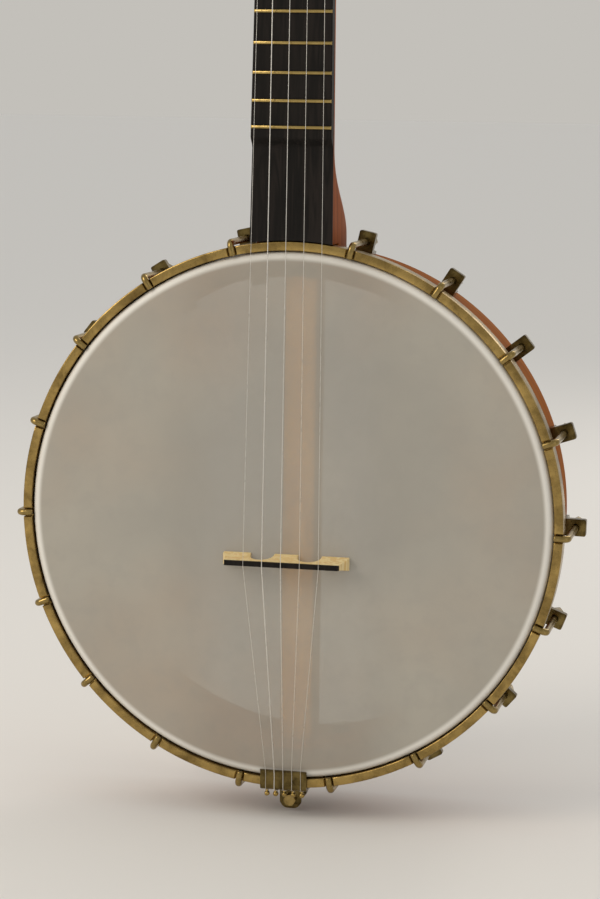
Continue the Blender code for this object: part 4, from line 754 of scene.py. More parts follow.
def makeEndBolt():
    bolt = {"shaft": 2.6, "plate": 7.7, "plateThick": 2.2, "rounding": 1.0, "eye": 5.4, "eyeThick": 5.0}
    seat, r, plateR = pot["rimRadius"] + gap, bolt["shaft"], bolt["plate"]
    top, rounding, half = seat + bolt["plateThick"], bolt["rounding"], bolt["eyeThick"] / 2
    plate = turned([(r, seat), (plateR, seat), (plateR, top - rounding), (plateR - rounding, top),
                    (r, top)], 48)
    shaft = rod(r, seat - 1, tailReach - bolt["eye"] + 0.4, 32)
    eye = turned(rectangle(tail["bolt"] + gap, bolt["eye"], -half, half), 48)
    whole = joined(plate, shaft, moved(eye, at(0, 0, tailReach) @ alongDepth))
    whole = combined(moved(whole, at(0, stickMiddle, 0) @ spun(180, "X")))
    addPiece("endBoltEye", whole, shoeBrass, potPlace, ["end_bolt"], bevel=0.3)


def tailPinX():
    return [tail["pinSpacing"] * (2 - i) for i in range(5)]


def makeTailpiece():
    back, thick, bend, leg = tailBack, tail["thick"], tail["bend"], tail["leg"]
    front = back - thick
    lip = pot["hoopInner"] - tail["lip"]
    turn = (tailInner - bend, back + bend)
    outline = [(lip - 1.2, front - 0.9), (lip, front)] + arc(turn, bend + thick, -90, 0, 10)
    outline += [(tailInner + thick, leg), (tailInner, leg)]
    outline += arc(turn, bend, 0, -90, 8) + [(lip + 0.3, back), (lip - 1.2, back - 0.6)]
    half = tail["width"] / 2
    plate = moved(prism(outline, -half, half), axes((0, 0, 1), (0, 1, 0), (-1, 0, 0)))
    tabHalf = tail["tab"] / 2
    low = -tailInner - thick - tail["tabReach"]
    corners = [(tabHalf - 3, low), (tabHalf, low + 3), (tabHalf, -tailInner - 4),
               (tabHalf + 3, -tailInner - 0.4)]
    corners = [(-x, z) for x, z in corners[::-1]] + corners
    tab = moved(prism(softCorners(corners, 2, 4), -leg, -leg + thick), spun(90, "X"))
    hole = moved(rod(tail["bolt"] + gap, -4, 4, 32), at(0, leg, -tailReach) @ alongDepth)
    body = combined(plate, ("UNION", tab), ("DIFFERENCE", hole))
    addPiece("tailPlate", body, shoeBrass, potPlace, ["tailpiece"], bevel=0.3)
    root = tailInner + thick - 0.4
    ball = root + tail["pinLength"]
    profile = [(0, root), (tail["pin"], root), (tail["pin"], ball - tail["ball"] * 0.85)]
    profile += arc((0, ball), tail["ball"], -50, 90, 12)
    pins = [moved(turned(profile, 28, closed=False), at(x, back + tail["pinBehind"], 0) @ spun(180, "X"))
            for x in tailPinX()]
    addPiece("tailPins", joined(*pins), tunerBrass, potPlace, crease=50)
    seat = leg - thick - gap
    place = potPlace @ at(0, 0, -tailReach) @ alongDepth
    bolt, end = tail["bolt"], stickMiddle + tail["boltEnd"]
    shaft = turned([(0, seat - 0.5), (bolt, seat - 0.5), (bolt, end - 0.5), (bolt - 0.5, end), (0, end)], 32,
                   closed=False)
    head = chamferedHex(tail["boltFlats"], seat - tail["boltHead"], seat)
    addPiece("tailBoltHex", joined(head, shaft), hookBrass, place, ["tailpiece_bolt"], bevel=0.12)
    low = stickMiddle + tail["nutBehind"] + gap
    nut = chamferedHex(tail["nutFlats"], low, low + tail["nutThick"], bolt + 0.1)
    addPiece("tailNutHex", nut, hookBrass, place, ["tailpiece_nut"], bevel=0.12)


makeStick()
makeBrace()
makeEndBolt()
makeTailpiece()
print("stick and tailpiece made")


# Bridge

bridge = {"height": 16.0, "halfFeet": 37.0, "halfTop": 33.2, "footThick": 8.0, "topThick": 2.8, "cap": 2.0,
          "belowCentre": 24.6, "foot": 16.2, "middle": 7.1, "arch": 10.6, "archFoot": 2.4,
          "notchHalf": 0.7, "notchFloor": 0.25, "notchDepth": 0.5}


def bridgeHalfWidth(height):
    return bridge["halfFeet"] + (bridge["halfTop"] - bridge["halfFeet"]) * height / bridge["height"]


def taperedBridge(outline, cuts):
    # The outline is (x, height), and its thickness along the strings shrinks with height.
    shape = prism(outline, -1, 1)
    for height in cuts:
        geometry = shape.verts[:] + shape.edges[:] + shape.faces[:]
        bmesh.ops.bisect_plane(shape, geom=geometry, plane_co=(0, height, 0), plane_no=(0, 1, 0))
    for v in shape.verts:
        share = v.co.y / bridge["height"]
        curved = (1 - share) ** 1.5      # the faces are hollowed a little
        v.co.z *= (bridge["topThick"] + (bridge["footThick"] - bridge["topThick"]) * curved) / 2
    return moved(shape, axes((1, 0, 0), (0, -1, 0), (0, 0, 1)))


def bridgeStringX():
    return [scale["bridgeSpacing"] * (2 - i) for i in range(5)]


def makeBridge():
    full = bridge["height"]
    top = full - bridge["cap"]
    outer, foot, middle = bridge["halfFeet"], bridge["foot"], bridge["middle"]
    outline = [(-outer, gap), (-outer + foot, gap)]
    for low, high in ((-outer + foot, -middle), (middle, outer - foot)):
        centre, half = (low + high) / 2, (high - low) / 2
        rise = bridge["arch"] - bridge["archFoot"]
        turns = [radians(a) for a in range(0, 181, 12)]
        outline += [(centre - half * cos(t), bridge["archFoot"] + rise * sin(t)) for t in turns]
        outline.append((high, gap))
        if low < 0:
            outline.append((middle, gap))
    flank = [(outer, 2.6), (outer - 0.4, 4.0), (bridgeHalfWidth(8) + 0.9, 5.2), (bridgeHalfWidth(8), 7.5),
             (bridgeHalfWidth(top), top)]
    outline += [(outer, gap)] + flank + [(-x, height) for x, height in flank[::-1]]
    place = potPlace @ at(0, 0, -bridge["belowCentre"])
    feet = taperedBridge(outline, (3, 6, 9, 12))
    addPiece("bridgeFeet", feet, bridgeMaple, place, ["bridge_base"], bevel=0.35)
    low = top + 0.02
    halfLow, halfHigh = bridgeHalfWidth(low), bridgeHalfWidth(full)
    cap = [(-halfLow, low), (halfLow, low), (halfHigh, full)]
    wide, narrow, floor = bridge["notchHalf"], bridge["notchFloor"], full - bridge["notchDepth"]
    for x in bridgeStringX():
        cap += [(x + wide, full), (x + narrow, floor), (x - narrow, floor), (x - wide, full)]
    cap.append((-halfHigh, full))
    addPiece("bridgeSaddle", taperedBridge(cap, ()), boardEbony, place, ["bridge_cap"], bevel=0.15)


makeBridge()
print("bridge made")


# Neck, fingerboard and peghead

neck = {
    "trebleNut": 18.1, "treblePot": 23.9, "bassPot": -23.9, "bassFifth": -20.8, "bassNarrow": -16.2,
    "bassNut": -14.9, "shoulderAbove": 20.0, "shoulderRun": 12.0, "depthNut": 14.5, "depthBody": 17.5,
    "heelDepth": 64.0, "heelFlat": 8.0, "heelRun": 52.0, "capThick": 2.5,
    "boardThick": 6.5, "boardLead": 5.2, "nutThick": 5.0,
    "scoopDepth": 5.0, "scoopAfter": 5.0, "scoopRun": 7.0,
    "fretWidth": 2.2, "fretHeight": 1.0, "pipAbove": 4.5, "pipRadius": 1.3, "pipInset": 1.9, "pipHeight": 2.1,
    "tilt": 13.0, "thick": 14.0, "length": 150.0, "overlay": 1.6, "pegX": 19.5, "pegRows": (48.0, 100.0),
    "barrelHole": 5.0, "setBack": 1.5, "fifthPegAbove": 9.5, "fifthPegDepth": 4.1, "boss": 6.5, "bossDepth": 16,
    "shankHole": 3.5, "hoopRoom": 18,
}


def fretZ(number):
    return scale["length"] * 2 ** (-number / 12) - scale["length"]


boardEndZ = potZ + hoopClear
boardSlope = (neck["boardLead"] - potFront) / -boardEndZ
fifthZ = fretZ(scale["fifthFret"])
shoulderZ = fifthZ + neck["shoulderAbove"]
lastFretZ = fretZ(scale["frets"])
nutMiddleX = (scale["nutX"][0] + scale["nutX"][-1]) / 2
pegheadStack = neck["overlay"] + gap + neck["thick"]
pegheadPlace = at(nutMiddleX, neck["setBack"], neck["nutThick"] + gap) @ spun(90 - neck["tilt"], "X")


def boardY(z):
    return boardSlope * z


def trebleEdge(z):
    return neck["trebleNut"] + (neck["treblePot"] - neck["trebleNut"]) * z / boardEndZ


def bassEdge(z):
    wide = neck["bassFifth"] + (neck["bassPot"] - neck["bassFifth"]) * (z - fifthZ) / (boardEndZ - fifthZ)
    narrow = neck["bassNut"] + (neck["bassNarrow"] - neck["bassNut"]) * z / fifthZ
    return wide + (narrow - wide) * smooth(shoulderZ, shoulderZ + neck["shoulderRun"], z)


def roundedBack(centre, half, front, depth, power, count=36):
    # Points of a section from its treble front corner round the back to its bass one.
    made = []
    for i in range(count + 1):
        t = pi * i / count
        side = 1 if cos(t) >= 0 else -1
        reach = sin(t) ** (2 / power) if 0 < i < count else 0
        made.append((centre + half * side * abs(cos(t)) ** (2 / power), front + depth * reach))
    return made


def shaftRing(z):
    share = smooth(0, lastFretZ, z)
    depth = neck["depthNut"] + (neck["depthBody"] - neck["depthNut"]) * share
    height = z - (potZ + pot["rimRadius"] + neck["heelFlat"])
    heel = 1 - smooth(0, neck["heelRun"], height)
    front = boardY(z) + neck["boardThick"] + gap
    limit = potFront + neck["heelDepth"]
    depth += (limit + 5 - front - depth) * heel
    left, right = bassEdge(z), trebleEdge(z)
    section = roundedBack((left + right) / 2, (right - left) / 2, front, depth, 2.3 + 1.7 * heel)
    return [(x, min(y, limit), z) for x, y in section]


def pegheadGuide(u):
    # Half width of the peghead at a height above the nut: a smooth curve through its own points,
    # then a pointed arch.
    nutHalf = (neck["trebleNut"] - neck["bassNut"]) / 2
    guide = [(-20, nutHalf), (0, nutHalf), (10, nutHalf), (24, nutHalf + 5.5), (38, 28.0), (56, 29.5),
             (76, 26.8), (96, 28.2), (114, 28.6), (132, 28.2)]
    springing, widest = guide[-2]
    if u > springing:
        share = min((u - springing) / (neck["length"] - springing), 1)
        return max(widest * (1 - share ** 2.1) ** 0.8, 0.3)
    for i in range(1, len(guide) - 2):
        before, a, b, after = guide[i - 1:i + 3]
        if u <= b[0] or i == len(guide) - 3:
            run = b[0] - a[0]
            t = (u - a[0]) / run
            slopeA = (b[1] - before[1]) / (b[0] - before[0]) * run
            slopeB = (after[1] - a[1]) / (after[0] - a[0]) * run
            return ((1 + 2 * t) * (1 - t) ** 2 * a[1] + t * (1 - t) ** 2 * slopeA
                    + t * t * (3 - 2 * t) * b[1] + t * t * (t - 1) * slopeB)


def pegPlaces():
    low, high = neck["pegRows"]
    x = neck["pegX"]
    return [(x, low), (x, high), (-x, high), (-x, low)]


def fifthPegPlace():
    z = fifthZ + neck["fifthPegAbove"]
    y = boardY(z) + neck["boardThick"] + neck["fifthPegDepth"]
    return at(bassEdge(z) - gap, y, z) @ spun(-90, "Y")


def evenly(start, end, steps):
    return [start + (end - start) * i / steps for i in range(steps + 1)]


def makeNeck():
    heelTop = potZ + pot["rimRadius"] + neck["heelFlat"] + neck["heelRun"]
    start = shoulderZ - 6
    last = start + neck["shoulderRun"] + 12
    stations = evenly(potZ + pot["rimRadius"] - 6, heelTop, 40) + evenly(heelTop, start, 14)[1:]
    stations += evenly(start, last, 20)[1:] + evenly(last, neck["nutThick"] + 2 * gap, 8)[1:]
    rings = [shaftRing(z) for z in stations]
    # Past the nut the section steps up to the peghead's face and turns from round to square-backed.
    face = -neck["overlay"] - gap
    step = [list(point) for point in rings[-1]]
    step[0][1] = step[-1][1] = pegheadPlace.translation.y - face
    rings.append(step)
    heights = [8, 10] + list(range(12, 130, 3)) + list(range(130, 143, 2))
    heights += [143.5, 145, 146.2, 147.4, 148.5, 149.4, neck["length"]]
    for u in heights:
        depth = neck["thick"] + 3.0 * (1 - smooth(4, 30, u))
        section = roundedBack(0, pegheadGuide(u), 0, depth, 2.3 + 12 * smooth(6, 34, u))
        rings.append([tuple(pegheadPlace @ Vector((x, u, face - y))) for x, y in section])
    rimCut, step = pot["rimRadius"] + gap, neck["hoopRoom"]
    cutter = [(0, -30), (hoopClear, -30), (hoopClear, step), (rimCut, step), (rimCut, 100), (0, 100)]
    cutter = moved(potTurned(cutter, closed=False), potPlace)
    r, inside = neck["boss"], -neck["bossDepth"]
    boss = turned([(0, inside), (r, inside), (r, -1), (r - 0.3, -0.3), (r - 0.9, -0.05), (0, -0.05)], 40,
                  closed=False)
    room = loft([[(x, boardY(z) + y, z) for x, y in rectangle(-60, 60, -40, 6.8)] for z in (boardEndZ - 20, 0)])
    holes = [moved(rod(neck["barrelHole"], -30, 10), pegheadPlace @ at(x, y, 0)) for x, y in pegPlaces()]
    shank = moved(rod(neck["shankHole"], -12.3, 8), fifthPegPlace())
    whole = combined(loft(rings), ("UNION", moved(boss, fifthPegPlace())), ("DIFFERENCE", room),
                     ("DIFFERENCE", cutter), ("DIFFERENCE", joined(*holes, shank)))
    addPiece("neckWood", whole, neckCherry, None, ["neck"], crease=32)


def makeHeelCap():
    cap = {"half": 14.0, "straight": 1.5, "round": 7}
    half = cap["half"]
    start = pot["rimRadius"] + 2 * gap
    depth = neck["heelDepth"] + gap
    outline = [(x, sqrt(start ** 2 - x ** 2)) for x in (-half, -10, -5, 0, 5, 10, half)]
    outline += [(half * cos(radians(a)), start + cap["straight"] + cap["round"] * sin(radians(a)))
                for a in range(0, 181, 10)]
    shape = moved(prism(outline, -depth - neck["capThick"], -depth), spun(90, "X"))
    addPiece("heelCapPlate", shape, boardEbony, potPlace, ["heel_cap"], bevel=0.5)


def makeBoard():
    start = lastFretZ - neck["scoopAfter"]
    stations = [boardEndZ - 2] + [start - neck["scoopRun"] * (1 - i / 16) for i in range(17)]
    stations += [shoulderZ - 2 + (neck["shoulderRun"] + 4) * i / 20 for i in range(21)] + [-gap]
    rings = []
    edge = 0.35
    for z in stations:
        top = boardY(z) + neck["scoopDepth"] * smooth(0, neck["scoopRun"], start - z)
        left, right = bassEdge(z), trebleEdge(z)
        base = boardY(z) + neck["boardThick"]
        rings.append([(left + edge, top, z), (right - edge, top, z), (right, top + edge, z), (right, base, z),
                      (left, base, z), (left, top + edge, z)])
    cutter = moved(potTurned(rectangle(0, hoopClear, -30, 60), closed=False), potPlace)
    hole = moved(rod(neck["pipRadius"] + gap, -4, 3), at(*pipFoot()) @ alongDepth)
    board = combined(loft(rings), ("DIFFERENCE", cutter), ("DIFFERENCE", hole))
    addPiece("boardPlank", board, boardEbony, None, ["fingerboard"], crease=30)


def pipFoot():
    # Middle of the fifth string's nut, on the board's surface.
    z = fifthZ + neck["pipAbove"]
    return Vector((bassEdge(z) + neck["pipInset"], boardY(z), z))


def makeFrets():
    # Crowned wire across the board, with its ends filed over and rounded.
    bars = []
    half = neck["fretWidth"] / 2
    for number in range(1, scale["frets"] + 1):
        z = fretZ(number)
        left, right = bassEdge(z) + 0.1, trebleEdge(z) - 0.1
        rings = []
        for x, share in ((left, 0.35), (left + 0.25, 0.75), (left + 0.7, 1), (right - 0.7, 1),
                         (right - 0.25, 0.75), (right, 0.35)):
            crown = [(half * cos(radians(a)), -neck["fretHeight"] * share * sin(radians(a)) ** 0.8)
                     for a in range(0, 181, 15)]
            crown = [(half, 0.5)] + crown + [(-half, 0.5)]
            rings.append([(x, boardY(z) + y, z + along) for along, y in crown])
        bars.append(loft(rings))
    addPiece("fretWires", joined(*bars), fretBrass, None, crease=40)


def makeNuts():
    nut = {"aboveStrings": 0.6, "slotDepth": 1.2, "fall": 0.7}
    left, right = bassEdge(0), trebleEdge(0)
    top = -neck["fretHeight"] - scale["aboveFrets"] - nut["aboveStrings"]
    low = top + nut["slotDepth"]
    outline = [(left, neck["boardThick"]), (right, neck["boardThick"]), (right, low),
               (right - 0.5, top + 0.3), (right - 1.2, top)]
    for x, diameter in zip(scale["nutX"], scale["stringDiameters"]):
        wide = diameter / 2 + 0.12
        outline += [(x + wide + 0.15, top), (x + wide, low), (x - wide, low), (x - wide - 0.15, top)]
    outline += [(left + 1.2, top), (left + 0.5, top + 0.3), (left, low)]
    shape = prism(outline, 0, neck["nutThick"])
    for v in shape.verts:
        if v.co.y < 0 and v.co.z > 1:
            v.co.y += nut["fall"]        # the top falls away towards the peghead
    addPiece("nutBlank", shape, bonePolished, None, ["nut"], bevel=0.2)
    high = neck["fretHeight"] + neck["pipHeight"]
    r = neck["pipRadius"]
    pip = turned([(0, -high - 0.7), (r - 0.6, -high - 0.68), (r - 0.15, -high - 0.4), (r, -high), (r, 2.6),
                  (0, 2.6)], 32, closed=False)
    groove = block((-0.3, 0.3), (-4, 4), (-high - 3, -high + 0.4))
    place = at(*pipFoot()) @ alongDepth
    addPiece("fifthPip", combined(pip, ("DIFFERENCE", groove)), bonePolished, place, ["fifth_string_nut"])


def makePegheadTrim():
    heights = [gap + i for i in range(0, 140, 3)] + [141, 143, 145, 146.5, 148, 149, 149.6]
    right = [(pegheadGuide(u), u) for u in heights]
    outline = right + [(0, neck["length"])] + [(-w, u) for w, u in right[::-1]]
    holes = [moved(rod(neck["barrelHole"], -10, 10), at(x, y, 0)) for x, y in pegPlaces()]
    veneer = combined(prism(outline, -neck["overlay"], 0), ("DIFFERENCE", joined(*holes)))
    addPiece("pegheadVeneer", veneer, boardEbony, pegheadPlace, ["peghead_overlay"], bevel=0.35)
    cover = {"half": 7.0, "straight": 26, "round": 5.6, "thick": 1.2,
             "screws": ((-4.4, 4.5), (4.4, 4.5), (0, 27))}
    half, low = cover["half"], gap + 0.2
    turns = [radians(a) for a in range(0, 181, 9)]
    outline = [(-half, low), (half, low)]
    outline += [(half * cos(t), cover["straight"] + cover["round"] * sin(t)) for t in turns]
    plate = prism(outline, gap, gap + cover["thick"])
    place = pegheadPlace @ at(-nutMiddleX, 0, 0)
    addPiece("rodCoverPlate", plate, tunerBrass, place, ["truss_rod_cover"], bevel=0.4)
    screws = []
    for x, y in cover["screws"]:
        dome = turned([(0, 1.45), (1.3, 1.45), (1.25, 1.85), (0.8, 2.25), (0, 2.4)], 24, closed=False)
        slotted = combined(dome, ("DIFFERENCE", block((-0.2, 0.2), (-2, 2), (1.95, 3))))
        screws.append(moved(slotted, at(x, y, 0)))
    addPiece("rodCoverScrews", joined(*screws), screwSteel, place)


makeNeck()
makeHeelCap()
makeBoard()
makeFrets()
makeNuts()
makePegheadTrim()
print("neck made")


# Tuners

tuner = {"barrel": 4.7, "post": 3.0, "waist": 2.5, "postHeight": 17.0, "bore": 3.4, "case": 8.5,
         "caseLength": 9.0, "wall": 1.5, "planet": 1.6, "orbit": 4.0, "sun": 1.9, "button": 9.0,
         "flatten": 0.68, "buttonLength": 10.0, "stand": 1.2, "shank": 12.0, "spool": 9.0, "sides": 56,
         "collar": 3.0, "washerOut": 2.2, "caseWall": 1.9, "carrier": 1.4, "waistFrom": 2.4, "waistTo": 9.4,
         "threadHole": 0.75, "fifthCup": 6.4}
barrelFront = gap + tuner["collar"]
windingLow, windingHigh = barrelFront + tuner["waistFrom"], barrelFront + tuner["waistTo"]


def buttonShape(sunTop, caseBack):
    # A shaft and an oval knob with softened ends and a waist below its shoulder.
    start = caseBack - tuner["stand"]
    end = start - tuner["buttonLength"]
    r = tuner["button"]
    knob = [(3.6, start), (5.0, start - 0.4), (6.6, start - 1.5), (r - 1.0, start - 2.9),
            (r - 0.15, start - 4.2), (r, start - 5.2), (r - 0.1, end + 3.9), (r - 0.8, end + 2.3),
            (r - 2.2, end + 0.9), (r - 4.5, end + 0.15), (0, end)]
    shaft = [(0, sunTop), (tuner["sun"], sunTop), (tuner["sun"], start + 0.2)]
    shape = turned(shaft + knob, tuner["sides"], closed=False)
    for v in shape.verts:
        if hypot(v.co.x, v.co.y) > tuner["sun"] + 0.5:
            v.co.y *= tuner["flatten"]
    return shape


def planets(low, high, radius, orbit):
    angles = [radians(120 * i) for i in range(3)]
    return [moved(rod(radius, low, high, 16), at(orbit * cos(a), orbit * sin(a), 0)) for a in angles]


def makeTuner(number, place):
    back = -pegheadStack - gap
    caseBack = back - tuner["caseLength"]
    chamber = tuner["case"] - tuner["caseWall"]
    front = barrelFront
    washer = tuner["barrel"] + tuner["washerOut"]
    floor, ceiling = caseBack + tuner["wall"], back - tuner["wall"]
    sunBore = tuner["sun"] + 0.8
    r = tuner["case"]
    bore, barrel, sides = tuner["bore"], tuner["barrel"], tuner["sides"]
    profile = [(bore, front), (washer - 1.6, front), (washer - 0.5, front - 0.5), (washer, front - 1.4),
               (washer, gap), (barrel, gap), (barrel, back), (r - 0.4, back), (r, back - 0.4),
               (r, back - 2.2), (r - 0.35, back - 2.4), (r - 0.35, back - 3.0), (r, back - 3.2),
               (r, caseBack + 1.0), (r - 0.35, caseBack + 0.35), (r - 1.0, caseBack), (sunBore, caseBack),
               (sunBore, floor), (chamber, floor), (chamber, ceiling), (bore, ceiling)]
    addPiece(f"tuner{number}Case", turned(profile, sides), tunerBrass, place, [f"tuner_{number}_housing"])
    carrier = ceiling - gap
    carrierBack = carrier - tuner["carrier"]
    edge = tuner["orbit"] + tuner["planet"] + 0.4
    tip = front + tuner["postHeight"] - 3
    low, high, r, waist = windingLow, windingHigh, tuner["post"], tuner["waist"]
    post = [(0, tip), (r - 0.8, tip), (r - 0.2, tip - 0.25), (r, tip - 0.8), (r, high + 0.8),
            (waist + 0.1, high + 0.1), (waist, high - 0.8), (waist, low + 0.6), (waist + 0.1, low - 0.1),
            (r, low - 0.8), (r, carrier), (edge, carrier), (edge, carrierBack), (0, carrierBack)]
    hole = moved(rod(tuner["threadHole"], -6, 6, 20), at(0, 0, high - 0.8) @ spun(90, "Y"))
    shape = combined(turned(post, sides, closed=False), ("DIFFERENCE", hole))
    gears = planets(floor + gap, carrierBack + 0.3, tuner["planet"], tuner["orbit"])
    addPiece(f"tuner{number}Post", joined(shape, *gears), tunerBrass, place, [f"tuner_{number}_post"],
             body=f"post_{number}")
    addPiece(f"tuner{number}Knob", buttonShape(carrierBack - 0.5, caseBack), celluloidTurned, place,
             [f"tuner_{number}_button"], body=f"button_{number}", crease=50)


def makeFifthTuner():
    place = fifthPegPlace()
    low = 1.9
    cup = low + tuner["spool"]
    cupEnd = cup + tuner["fifthCup"]
    plate = cupEnd + gap
    shank = -tuner["shank"]
    profile = [(0, shank), (2.6, shank), (3.2, shank + 1), (3.2, gap), (5.6, gap), (6.0, gap + 0.4), (6.0, 1.2),
               (5.7, 1.5), (1.6, 1.5), (1.6, cup + 0.9), (5.1, cup + 0.9), (5.1, cup + 2.0), (0, cup + 2.0)]
    axle = turned(profile, tuner["sides"], closed=False)
    bore = tuner["sun"] + 0.6
    endPlate = turned([(bore, plate), (7.2, plate), (7.2, plate + 0.9), (6.7, plate + 1.4), (6.2, plate + 1.5),
                       (bore, plate + 1.5)], tuner["sides"])
    pins = planets(cup + 1.6, plate + 0.5, 1.1, 3.8)
    addPiece("tuner5Axle", joined(axle, *pins, endPlate), tunerBrass, place, ["tuner_5_housing"])
    inner, waist = 2.0, tuner["waist"] + 0.5
    profile = [(inner, low), (4.2, low), (4.4, low + 0.2), (4.4, low + 0.8), (waist + 0.3, low + 1.2),
               (waist, low + 1.8), (waist, cup - 2.0), (waist + 0.4, cup - 1.4), (3.9, cup - 1.0),
               (6.7, cup - 0.8), (7.0, cup - 0.5), (7.0, cupEnd - 0.3), (6.8, cupEnd), (5.6, cupEnd),
               (5.6, cup + 0.5), (inner, cup + 0.5)]
    addPiece("tuner5Spool", turned(profile, tuner["sides"]), tunerBrass, place, ["tuner_5_post"], body="post_5")
    knob = moved(buttonShape(-(cup + 2.4), -(plate + 1.5)), spun(180, "X"))
    addPiece("tuner5Knob", knob, celluloidTurned, place, ["tuner_5_button"], body="button_5", crease=50)
    return cup - 2.6


for number, (x, y) in enumerate(pegPlaces(), 1):
    makeTuner(number, pegheadPlace @ at(x, y, 0))
spoolHeight = makeFifthTuner()
print("tuners made")


# Strings

wound = {"turns": 2, "stepsPerTurn": 24, "between": 0.5, "aboveWaist": 0.4, "sides": 8}


def tangentAngle(point, radius, side):
    return atan2(point[1], point[0]) + side * acos(radius / hypot(point[0], point[1]))


def winding(place, toPost, radius, height, pitch, side):
    # Turns round a post, from where the string comes straight in, as points in the CAD's frame.
    steps = wound["stepsPerTurn"]
    made = []
    for i in range(wound["turns"] * steps + 1):
        a = tangentAngle(toPost, radius, side) - side * 2 * pi * i / steps
        made.append(place @ Vector((radius * cos(a), radius * sin(a), height + pitch * i / steps)))
    return made


def pathToTail(number, start):
    radius = scale["stringDiameters"][number] / 2
    bridgeX, pinX = bridgeStringX()[number], tailPinX()[number]
    bridgeZ = potZ - bridge["belowCentre"]
    bridgeY = potFront - bridge["height"] - gap - radius + 0.25
    plateY = potFront + tailBack - tail["thick"] - gap - radius
    lipZ = potZ - pot["hoopInner"] + tail["lip"]
    half = bridge["topThick"] / 2
    rise = (bridgeY - start[1]) / (bridgeZ - start[2])
    lean = (start[0] - bridgeX) / (start[2] - bridgeZ)
    points = [start, (bridgeX + lean * half, bridgeY + rise * half, bridgeZ + half),
              (bridgeX, bridgeY - 0.05, bridgeZ), (bridgeX, bridgeY, bridgeZ - half),
              (pinX, plateY - 1.0, lipZ + 1.8), (pinX, plateY, lipZ - 1.5)]
    # Over the tailpiece's bend, then once round the pin.
    loop = tail["pin"] + gap + radius
    pinY = potFront + tailBack + tail["pinBehind"]
    bendY = potFront + tailBack + tail["bend"]
    bendZ = potZ - tailInner + tail["bend"]
    bend = tail["bend"] + tail["thick"] + gap + radius
    for turn in [radians(a) for a in range(0, 85, 12)]:
        points.append((pinX, bendY - bend * cos(turn), bendZ - bend * sin(turn)))
    for turn in [radians(12 * i - 90) for i in range(1, 25)]:
        points.append((pinX + loop * cos(turn), pinY + loop * sin(turn), bendZ - bend))
    return points


def addString(number, points):
    radius = scale["stringDiameters"][number] / 2
    shape = tube(points, [radius] * len(points), wound["sides"])
    addPiece(f"stringWire{number + 1}", shape, stringSteel, None, [f"string_{number + 1}"], crease=60)


def makeStrings():
    for number, (pegX, pegY) in enumerate(pegPlaces()):
        diameter = scale["stringDiameters"][number]
        x, y = scale["nutX"][number], -neck["fretHeight"] - scale["aboveFrets"]
        place = pegheadPlace @ at(pegX, pegY, 0)
        toPost = place.inverted() @ Vector((x, y, neck["nutThick"]))
        radius = tuner["waist"] + gap + diameter / 2
        low = windingLow + wound["aboveWaist"] + diameter / 2
        coil = winding(place, toPost, radius, low, diameter + wound["between"], -1 if pegX > 0 else 1)
        addString(number, coil[::-1] + [(x, y, neck["nutThick"])] + pathToTail(number, (x, y, 0)))
    start = pipFoot() - Vector((0, neck["fretHeight"] + neck["pipHeight"], 0))
    place = fifthPegPlace()
    toPost = place.inverted() @ start
    diameter = scale["stringDiameters"][4]
    facing = place.to_3x3().inverted() @ Vector((0, -1, 0))
    side = 1 if facing.y * toPost.x - facing.x * toPost.y < 0 else -1
    radius = tuner["waist"] + 0.5 + gap + diameter / 2
    coil = winding(place, toPost, radius, spoolHeight, -diameter - wound["between"], side)
    over = Vector((0, 0, neck["pipRadius"] + 0.4))
    addString(4, coil[::-1] + [start + over] + pathToTail(4, tuple(start - over)))


makeStrings()
# The rod lies hidden in the neck, so its CAD solid is shown as it is.
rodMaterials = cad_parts["truss_rod"].data.materials
rodMaterials.clear()
rodMaterials.append(screwSteel)
print("strings made")


# Floor, light and camera

def makeStage():
    stage = {"floor": "#e4e1db", "back": "#c3c0ba", "size": 60, "drop": 0.002, "ambient": 0.7}
    low = cadBounds[0][2] - stage["drop"]
    half = stage["size"] / 2
    shape = bmesh.new()
    shape.faces.new([shape.verts.new((x, y, low)) for x, y in rectangle(-half, half, -half, half)])
    floor = plainObject(shape, "floor")
    paper = {"Roughness": 0.9, "Specular IOR Level": 0.2, "Base Color": linearColor(stage["floor"])}
    floor.data.materials.append(startMaterial("paperFloorMatt", paper)[0])
    world = bpy.data.worlds.new("studio")
    world.use_nodes = True
    tree = world.node_tree
    tree.nodes.clear()
    # Rays that see the backdrop get its colour, and all others the even light.
    rays = addNode(tree, "LightPath").outputs
    seen = mathOf(tree, "MAXIMUM", rays["Is Camera Ray"], rays["Is Glossy Ray"])
    seen = mathOf(tree, "MAXIMUM", seen, rays["Is Transmission Ray"])
    lit = addNode(tree, "Background", {"Color": linearColor("#ffffff"), "Strength": stage["ambient"]})
    shown = addNode(tree, "Background", {"Color": linearColor(stage["back"]), "Strength": 1})
    mixed = addNode(tree, "MixShader", {0: seen, 1: lit.outputs[0], 2: shown.outputs[0]})
    out = addNode(tree, "OutputWorld", {"Surface": mixed.outputs[0]})
    out.is_active_output = True
    bpy.context.scene.world = world


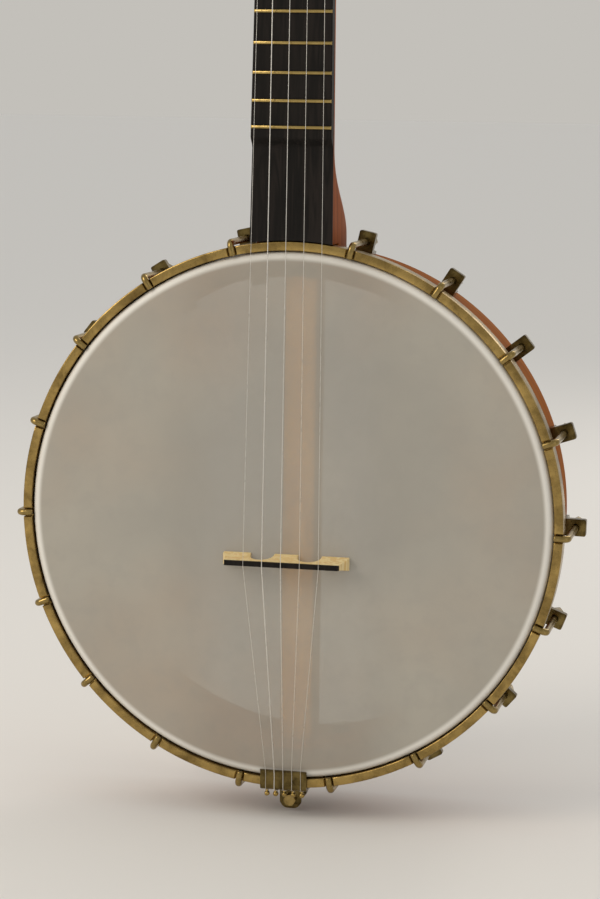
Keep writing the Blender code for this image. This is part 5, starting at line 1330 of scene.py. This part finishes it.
def addLamp(name, spot, target, size, energy, color, seen=True):
    lamp = bpy.data.lights.new(name, "AREA")
    lamp.shape = "RECTANGLE"
    lamp.size, lamp.size_y = size
    lamp.energy = energy
    lamp.color = linearColor(color)[:3]
    made = bpy.data.objects.new(name, lamp)
    bpy.context.scene.collection.objects.link(made)
    made.visible_camera = False
    made.visible_glossy = seen
    made.location = spot
    made.rotation_euler = (Vector(target) - Vector(spot)).to_track_quat("-Z", "Y").to_euler()


def makeLights():
    target = (0, 0, potZ * mm)
    addLamp("keySoftbox", (-1.3, -1.2, 0.35), target, (0.9, 1.2), 15, "#fff4e6")
    addLamp("fillSoftbox", (1.9, -1.6, 0.1), target, (1.2, 1.6), 2, "#eef3ff")
    addLamp("backStrip", (0.6, 1.5, 0.5), target, (0.5, 1.4), 6, "#fff8f0")
    # Stands in for the light that the frosted film scatters on to the stick behind it.
    inside = (0, (potFront + 10) * mm, potZ * mm)
    behind = (0, (potFront + 30) * mm, potZ * mm)
    addLamp("stickStrip", inside, behind, (0.012, 0.27), 0.068, "#fff2df", seen=False)


def makeCamera():
    # Fitted to the hoop, the hooks, the frets and the strings of the photograph, 600 by 899 pixels.
    view = {"place": (315.0, -1412.3, 246.4), "yaw": 12.3, "pitch": -8.11, "roll": -0.77,
            "focalPixels": 2558.8, "pixelsHigh": 899, "sensor": 36}
    lens = bpy.data.cameras.new("camera")
    lens.sensor_width = view["sensor"]
    lens.lens = view["focalPixels"] * view["sensor"] / view["pixelsHigh"]
    lens.clip_start, lens.clip_end = 0.05, 100
    made = bpy.data.objects.new("camera", lens)
    bpy.context.scene.collection.objects.link(made)
    spot = Vector((0, potFront + pot["hoopFront"], potZ)) + Vector(view["place"])
    turn = spun(view["yaw"], "Z") @ spun(view["pitch"], "X") @ spun(view["roll"], "Y") @ spun(90, "X")
    made.matrix_world = at(*spot * mm) @ turn
    bpy.context.scene.camera = made


makeStage()
makeLights()
makeCamera()
bpy.context.scene.view_settings.view_transform = "Standard"
print("stage, lights and camera made")
